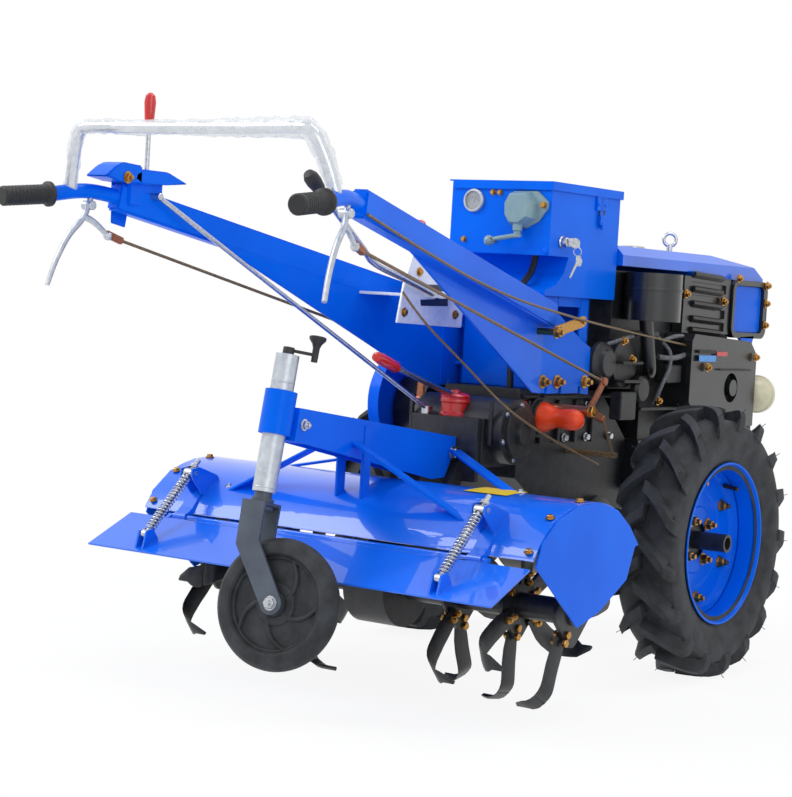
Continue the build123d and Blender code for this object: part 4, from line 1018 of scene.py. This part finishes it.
def dress_box():
    """The box's gauge, switch, lock with its keys, hasp, screws and bolts."""
    face_x = -285.0
    gauge_at = mm(face_x, 76, 965)
    gauge = Form()
    gauge.lathe([(0.0185, 0.0), (0.0245, 0.0), (0.0245, 0.006), (0.0225, 0.0085), (0.0195, 0.0085), (0.0185, 0.004)],
                gauge_at, (-1, 0, 0), 40)
    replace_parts(gauge.done("gauge_rim", "silver_paint", "steel_bright"), "box_dials")
    dial = Form().lathe([(0, 0), (0.019, 0), (0.019, 0.002), (0, 0.0022)], gauge_at, (-1, 0, 0), 40)
    dial.done("gauge_dial", "dial")
    marks = Form()
    for k in range(9):
        a = math.radians(-60 + 15 * k)
        out = Vector((0, -math.sin(a), math.cos(a)))
        at = mm(face_x - 2.4, 76, 958)
        marks.beam(at + out * 0.0125, at + out * 0.0155, 0.0008, 0.0003, 0.0, (1, 0, 0))
    needle_at = mm(face_x - 2.6, 76, 958)
    marks.beam(needle_at, needle_at + Vector((0, -0.004, 0.0125)), 0.0009, 0.0004, 0.0, (1, 0, 0))
    marks.done("gauge_marks", "black_sheet")
    glass = Form().lathe([(0.0205, 0.0052), (0.012, 0.0066), (0, 0.0072)], gauge_at, (-1, 0, 0), 36)
    glass.done("gauge_glass", "clear", sharp=60.0)

    switch = Form()
    base = [(22, 986), (81, 987), (107, 966), (107, 952), (86, 925), (56, 910), (24, 912), (10, 935), (8, 965)]
    switch.prism([mm(face_x, -y, z) for y, z in base], (-0.006, 0, 0), 0.0012)
    rise = [(24, 984), (66, 985), (82, 960), (80, 930), (56, 912), (26, 914), (12, 936), (10, 964)]
    top = [(30, 978), (60, 979), (73, 958), (71, 934), (53, 921), (32, 922), (21, 938), (20, 960)]
    loops = [switch.loop(mm(face_x - out, -(u[0] * (1 - t) + v[0] * t), u[1] * (1 - t) + v[1] * t)
                         for u, v in zip(rise, top)) for out, t in ((5, 0.0), (22, 0.35), (32, 0.8), (34, 1.0))]
    switch.bridge(loops)
    switch.mesh.faces.new(loops[-1])
    spindle = face_x - 20
    switch.lathe([(0, 0), (0.0095, 0), (0.0095, 0.006), (0.0075, 0.008), (0.0075, 0.012), (0.0105, 0.014),
                  (0.0105, 0.034), (0, 0.036)], mm(spindle, -46, 891), (0, 0, 1), 20)
    switch.tube(route([(spindle, -46, 895), (spindle - 3, -36, 893), (spindle - 10, -10, 888),
                       (spindle - 14, 6, 884)]), lambda t: 0.0058 - 0.0014 * t, 12, 6)
    switch.ball(mm(spindle - 15, 12, 882), 0.0112, 20)
    switch.done("switch_casting", "hammer", "grey_casting")
    # A black disc painted as the shade inside the switch's eye
    eye_shade = Form().lathe([(0, 0), (0.0042, 0), (0.0042, 0.0006), (0, 0.0007)], mm(spindle - 22, 5, 883),
                        (-0.8, -0.6, 0), 16)
    eye_shade.done("switch_painted_eye_shade", "black_sheet")

    fixings = Form()
    for y, z in ((31, 983), (14, 983), (97, 884), (21, 885)):
        fixings.bolt(mm(face_x, y, z), (-1, 0, 0), 0.0095, 0.005, 0.0062)
    fixings.bolt(mm(face_x - 6, -97, 959), (-1, 0, 0), 0.0105, 0.007, 0.007)
    fixings.done("switch_bolts", "gold_zinc", "steel_bright")
    screws = Form()
    for y, z in ((124, 866), (-104, 866)):
        screws.lathe([(0, 0), (0.007, 0), (0.0065, 0.002), (0.004, 0.0036), (0, 0.004)], mm(face_x, y, z),
                     (-1, 0, 0), 18)
    screws.side([(-92, 1000), (-80, 1000), (-80, 926), (-92, 926)], -112, -116, 0.0008)
    screws.side([(-96, 952), (-76, 952), (-76, 930), (-96, 930)], -112, -119, 0.0012)
    screws.block(mm(-107, -116, 960), mm(-66, -112, 1004), 0.0008)
    for x in (-101, -72):
        screws.lathe([(0, 0), (0.004, 0), (0.003, 0.002), (0, 0.0024)], mm(x, -116, 974), (0, -1, 0), 12)
    screws.bar(mm(-86, -118, 922), mm(-86, -118, 936), 0.003, 12, 0.0006)
    screws.done("box_hasp", "blue", "blue_paint")
    # Black strips painted as the shade in the open seams of the hasp
    hasp_shade = Form()
    for x in (-95, -77):
        hasp_shade.block(mm(x - 1.5, -117, 930), mm(x + 1.5, -116, 962))
    hasp_shade.done("hasp_gap_shade", "black_sheet")

    lock = Form()
    lock.lathe([(0, 0), (0.0125, 0), (0.0125, 0.004), (0.0105, 0.006), (0.0105, 0.016), (0.0095, 0.018), (0, 0.018)],
               mm(-240, -112, 887), (0, -1, 0), 28)
    lock.prism(route([(-246, -130, 895), (-222, -137, 897), (-214, -141, 891), (-215, -141, 880),
                      (-224, -137, 874), (-240, -130, 880)]), (0.0004, -0.0022, 0), 0.0006)
    lock.ring(mm(-220, -141, 869), (0.9, 0.2, 0), 0.0085, 0.0010, 24, 6)
    lock.prism(route([(-226, -141, 861), (-214, -143, 862), (-206, -144, 850), (-212, -144, 839),
                      (-226, -142, 840)]), (0.0004, -0.0022, 0), 0.0006)
    lock.prism(route([(-221, -142.5, 843), (-245, -142, 813), (-250, -142, 815), (-228, -142.5, 847)]),
               (0.0003, -0.0018, 0), 0.0003)
    lock.done("box_lock", "zinc", "steel_bright")


def dress_engine():
    """The engine's louvres, bolts, hoses and fittings, the belt guard, the lamp and blank labels."""
    skin = -131.0
    louvres = Form()
    for z in (853, 820, 787, 753, 727):
        section = [(0, 0), (-7, -3), (-8, -9), (0, -16)]
        loops = [louvres.loop(mm(x, skin + dy, level + dz) for dy, dz in section)
                 for x, level in ((318, z), (322, z), (458, z - 5), (462, z - 5))]
        louvres.bridge(loops, closed=False)
        louvres.cap(loops)
    # The louvres' near-black grain is painted shade seen through the mesh's piercings
    louvres.done("grille_louvres", "louvre_mesh_and_shade", sharp=20.0)
    bolts = Form()
    for x, z, y in ((288, 800, -131), (476, 788, -131), (538, 845, -136), (690, 833, -137), (690, 790, -137),
                    (690, 738, -137), (317, 637, -181), (560, 662, -181), (20, 650, -150), (150, 560, -150),
                    (-20, 690, -150)):
        bolts.bolt(mm(x, y, z), (0, -1, 0), 0.014, 0.007, 0.0105, 0.003)
    bolts.done("engine_bolts", "gold_zinc", "steel_bright")

    hoses = Form()
    for radius, points in ((0.0045, [(-60, -120, 676), (-20, -152, 694), (10, -155, 701), (40, -120, 694)]),
                           (0.0045, [(150, -150, 690), (190, -156, 702), (245, -150, 705), (285, -130, 702)]),
                           (0.006, [(140, -150, 657), (180, -160, 655), (238, -158, 661), (300, -140, 672)]),
                           (0.0045, [(150, -140, 700), (176, -158, 670), (176, -160, 634), (154, -158, 600),
                                     (144, -148, 563), (150, -130, 540)])):
        hoses.tube(route(points), radius, 10, 6)
    hoses.done("engine_hoses", "grey_hose", sharp=60.0)
    block_detail = Form()
    for x0, x1, z0, z1, deep in ((-30, 60, 600, 606, 166), (-30, 60, 640, 646, 160), (60, 240, 540, 546, 160),
                                 (40, 140, 700, 712, 150), (-28, 40, 520, 580, 158), (170, 240, 600, 640, 158)):
        block_detail.block(mm(x0, -deep, z0), mm(x1, -130, z1), 0.002)
    for profile, at, steps in (
            ([(0, 0), (0.046, 0), (0.046, 0.010), (0.040, 0.016), (0.030, 0.018), (0.028, 0.026), (0, 0.027)],
             mm(-66, -120, 640), 32),
            ([(0, 0), (0.030, 0), (0.030, 0.012), (0.024, 0.018), (0, 0.019)], mm(70, -140, 585), 28)):
        block_detail.lathe(profile, at, (0, -1, 0), steps)
    block_detail.done("engine_details", "black_cast", "cast_black")
    Form().block(mm(359, -182.5, 663), mm(412, -181, 673), 0.0004).done("red_tab", "red")
    Form().block(mm(273, -182.5, 650), mm(356, -181, 664), 0.0004).done("blank_tab", "label_blue")
    # Black strips painted as the shade in the muffler's openings
    muffler_shade = Form()
    muffler_shade.block(mm(273, -182, 668), mm(356, -181, 676), 0.0003)
    muffler_shade.block(mm(380, -182.4, 630), mm(540, -181, 634), 0.0003)
    muffler_shade.done("muffler_slot_shade", "soft_black")
    reflector = Form().block(mm(695, -136, 732), mm(700, -124, 800), 0.001)
    reflector.done("side_reflector", "orange", "orange_plastic")
    bracket = Form().side([(560, 708), (640, 712), (630, 690), (590, 686)], -128, -136, 0.001)
    bracket.done("panel_bracket", "blue", "blue_paint")

    fittings = Form()
    fittings.bar(mm(440, 0, 890), mm(440, 0, 914), 0.007, 16)
    fittings.lathe([(0, 0), (0.012, 0), (0.012, 0.005), (0, 0.006)], mm(440, 0, 893), (0, 0, 1))
    fittings.ring(mm(440, 0, 926), (0.82, 0.57, 0), 0.0145, 0.0042, 36, 12)
    fittings.lathe([(0, 0), (0.028, 0), (0.028, 0.008), (0.025, 0.010), (0, 0.011)], mm(300, 20, 893), (0, 0, 1), 36)
    fittings.lathe([(0, 0), (0.030, 0), (0.031, 0.026), (0.024, 0.034), (0, 0.036)], mm(600, 10, 862), (0, 0, 1), 36)
    fittings.bar(mm(520, 40, 884), mm(640, 40, 884), 0.003, 10)
    fittings.done("lifting_eye", "zinc", "steel_bright")

    guard = Form()
    outline = [(455, 470), (455, 650), (410, 765), (190, 765), (90, 655), (-190, 630)]
    # The round end behind the gear case, from its top to its lower front
    first, last, arcs, radius = 92, 218, 17, 105
    for k in range(arcs + 1):
        a = math.radians(first + (last - first) * k / arcs)
        outline.append((-300 + radius * math.cos(a), 535 + radius * math.sin(a)))
    guard.pan(outline, 235, 208, 3.0)
    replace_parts(guard.done("belt_cover", "blue", "blue_paint", sharp=30.0), "belt_guard")
    for colour, x0, x1 in (("yellow", -355, -262), ("white", -262, -215)):
        patch = Form().block(mm(x0, 235, 488), mm(x1, 236, 528), 0.0002)
        patch.done("cover_label_" + colour, "label_" + colour)

    lamp = Form()
    lamp.lathe([(0, -0.042), (0.014, -0.041), (0.028, -0.034), (0.038, -0.020), (0.042, -0.006), (0.045, -0.004),
                (0.045, 0.006), (0.041, 0.008), (0.040, 0.004)], mm(625, -160, 574), (1, 0, 0), 40)
    lamp.block(mm(591, -162, 565), mm(605, -112, 583), 0.001)
    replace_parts(lamp.done("lamp_bowl", "cream", "lamp_cream", sharp=40.0), "headlamp")
    lens = Form().lathe([(0, 0.010), (0.020, 0.009), (0.040, 0.005), (0.040, 0.003), (0, 0.003)], mm(625, -160, 574),
                        (1, 0, 0), 40)
    lens.done("lamp_glass", "clear", sharp=60.0)


def dress_gearbox():
    """Ribs, covers, collars and bolts of the gear case."""
    cover_bolts = [(-372 + 55 * math.cos(a), 497 + 55 * math.sin(a))
                   for a in (math.radians(60 * k + 20) for k in range(6))]
    cast = Form()
    cast.lathe([(0, 0), (0.062, 0.0), (0.062, 0.016), (0.058, 0.020), (0.050, 0.020), (0.050, 0.030), (0.040, 0.034),
                (0.024, 0.034), (0.022, 0.046), (0, 0.046)], mm(-372, -92, 497), (0, -1, 0), 40)
    for radius, y0, y1 in ((0.040, 88, 96), (0.044, 99, 104), (0.036, 104, 110)):
        cast.bar(mm(-262, -y0, 526), mm(-262, -y1, 526), radius, 36, 0.001)
    for x, z in cover_bolts:
        cast.bar(mm(x, -112, z), mm(x, -98, z), 0.009, 14, 0.001)
    for x in (-440, -300, -250, -180, -110, -40):
        for side in (-1, 1):
            cast.side([(x - 4, 470), (x + 4, 470), (x + 4, 560), (x - 4, 560)], side * 92, side * 100, 0.001)
    cast.block(mm(-325, -104, 564), mm(100, 104, 572), 0.002)
    cast.done("gear_ribs", "black_cast", "cast_black")
    bolts = Form()
    for x, z in cover_bolts:
        bolts.bolt(mm(x, -112, z), (0, -1, 0), 0.012, 0.007, 0.0085, 0.002)
    for x, z in ((-280, 545), (-232, 500), (-150, 480), (-60, 480), (40, 480), (90, 540), (-60, 550), (60, 552)):
        for side in (1, -1):
            bolts.bolt(mm(x, side * 94, z), (0, side, 0), 0.013, 0.008, 0.009)
    bolts.done("case_bolts", "zinc", "steel_bright")
    plug = Form().lathe([(0, 0), (0.011, 0), (0.011, 0.008), (0.006, 0.012), (0, 0.012)], mm(-319, -92, 548),
                        (0, -1, 0), 20)
    plug.done("filler_plug", "red", "red_plastic")


# Add-on


class TillerLook(bpy.types.PropertyGroup):
    """Colours and light levels of the machine."""
    paint_blue: bpy.props.FloatVectorProperty(
        name="Paint blue", description="Colour of the enamelled sheet, as sRGB", subtype="COLOR_GAMMA", size=3,
        min=0.0, max=1.0, default=(0.0, 0.42, 0.95))
    room_light: bpy.props.FloatProperty(
        name="Room light", description="Strength of the even light from the room", default=0.68, min=0.0, max=3.0)
    lamp_level: bpy.props.FloatProperty(
        name="Lamp level", description="Factor on the three studio lamps", default=0.62, min=0.0, max=5.0)


class PieceMaker:
    """What the operators share: each runs its own function."""

    def execute(self, context):
        self.make()
        return {"FINISHED"}


class TILLER_OT_stage(PieceMaker, bpy.types.Operator):
    """Sets the camera, floor, room light and lamps"""
    bl_idname = "tiller.stage"
    bl_label = "Stage"
    make = staticmethod(set_stage)


class TILLER_OT_finishes(PieceMaker, bpy.types.Operator):
    """Makes the finishes and gives them to the carried-over nodes"""
    bl_idname = "tiller.finishes"
    bl_label = "Finishes"
    make = staticmethod(set_finishes)


class TILLER_OT_cranks(PieceMaker, bpy.types.Operator):
    """Makes the steering cranks, their rods and the held cables"""
    bl_idname = "tiller.cranks"
    bl_label = "Cranks and cables"
    make = staticmethod(dress_cranks)


class TILLER_OT_wheels(PieceMaker, bpy.types.Operator):
    """Makes the driving tyres with their lugs, the rims and the wheel bolts"""
    bl_idname = "tiller.wheels"
    bl_label = "Driving wheels"
    make = staticmethod(dress_wheels)


class TILLER_OT_hardware(PieceMaker, bpy.types.Operator):
    """Makes the flap's springs and the hood's bolts"""
    bl_idname = "tiller.hardware"
    bl_label = "Springs and bolts"
    make = staticmethod(dress_hardware)


class TILLER_OT_frame(PieceMaker, bpy.types.Operator):
    """Makes the handle beams with their gussets, post, clutch cover and bolts"""
    bl_idname = "tiller.frame"
    bl_label = "Handle frame"
    make = staticmethod(dress_frame)


class TILLER_OT_handles(PieceMaker, bpy.types.Operator):
    """Makes the grips, the hand levers and the wrapped bar"""
    bl_idname = "tiller.handles"
    bl_label = "Handles"
    make = staticmethod(dress_handles)


class TILLER_OT_levers(PieceMaker, bpy.types.Operator):
    """Makes the gear gate, the control rods, their knobs, the boot and the shaft's cap"""
    bl_idname = "tiller.levers"
    bl_label = "Levers"
    make = staticmethod(dress_levers)


class TILLER_OT_rotor(PieceMaker, bpy.types.Operator):
    """Makes the rotor with its flanges, hoe blades and bolts"""
    bl_idname = "tiller.rotor"
    bl_label = "Rotor"
    make = staticmethod(dress_rotor)


class TILLER_OT_tail(PieceMaker, bpy.types.Operator):
    """Makes the post, its crank, the braces, the hood's patch and the tail wheel"""
    bl_idname = "tiller.tail"
    bl_label = "Tail wheel"
    make = staticmethod(dress_tail)


class TILLER_OT_box(PieceMaker, bpy.types.Operator):
    """Makes the gauge, switch, lock, keys, hasp and screws"""
    bl_idname = "tiller.box"
    bl_label = "Control box"
    make = staticmethod(dress_box)


class TILLER_OT_engine(PieceMaker, bpy.types.Operator):
    """Makes the louvres, hoses, bolts, fittings, belt cover and lamp"""
    bl_idname = "tiller.engine"
    bl_label = "Engine"
    make = staticmethod(dress_engine)


class TILLER_OT_gearbox(PieceMaker, bpy.types.Operator):
    """Makes the ribs, covers, collars and bolts of the gear case"""
    bl_idname = "tiller.gearbox"
    bl_label = "Gear case"
    make = staticmethod(dress_gearbox)


class TILLER_PT_panel(bpy.types.Panel):
    """Lists the machine's pieces and its look"""
    bl_idname = "TILLER_PT_panel"
    bl_label = "Walking tractor"
    bl_space_type = "VIEW_3D"
    bl_region_type = "UI"
    bl_category = "Tiller"

    def draw(self, context):
        look = context.scene.tiller_look
        for name in ("paint_blue", "room_light", "lamp_level"):
            self.layout.prop(look, name)
        for operator in operators:
            self.layout.operator(operator.bl_idname)


operators = (TILLER_OT_stage, TILLER_OT_finishes, TILLER_OT_cranks, TILLER_OT_wheels, TILLER_OT_hardware,
             TILLER_OT_frame, TILLER_OT_handles, TILLER_OT_levers, TILLER_OT_rotor, TILLER_OT_tail, TILLER_OT_box,
             TILLER_OT_engine, TILLER_OT_gearbox)
classes = (TillerLook,) + operators + (TILLER_PT_panel,)


def register():
    for cls in classes:
        bpy.utils.register_class(cls)
    bpy.types.Scene.tiller_look = bpy.props.PointerProperty(type=TillerLook)


def unregister():
    del bpy.types.Scene.tiller_look
    for cls in reversed(classes):
        bpy.utils.unregister_class(cls)


def main():
    register()
    for operator in operators:
        getattr(bpy.ops.tiller, operator.bl_idname.partition(".")[2])()


if __name__ == "__main__":
    main()
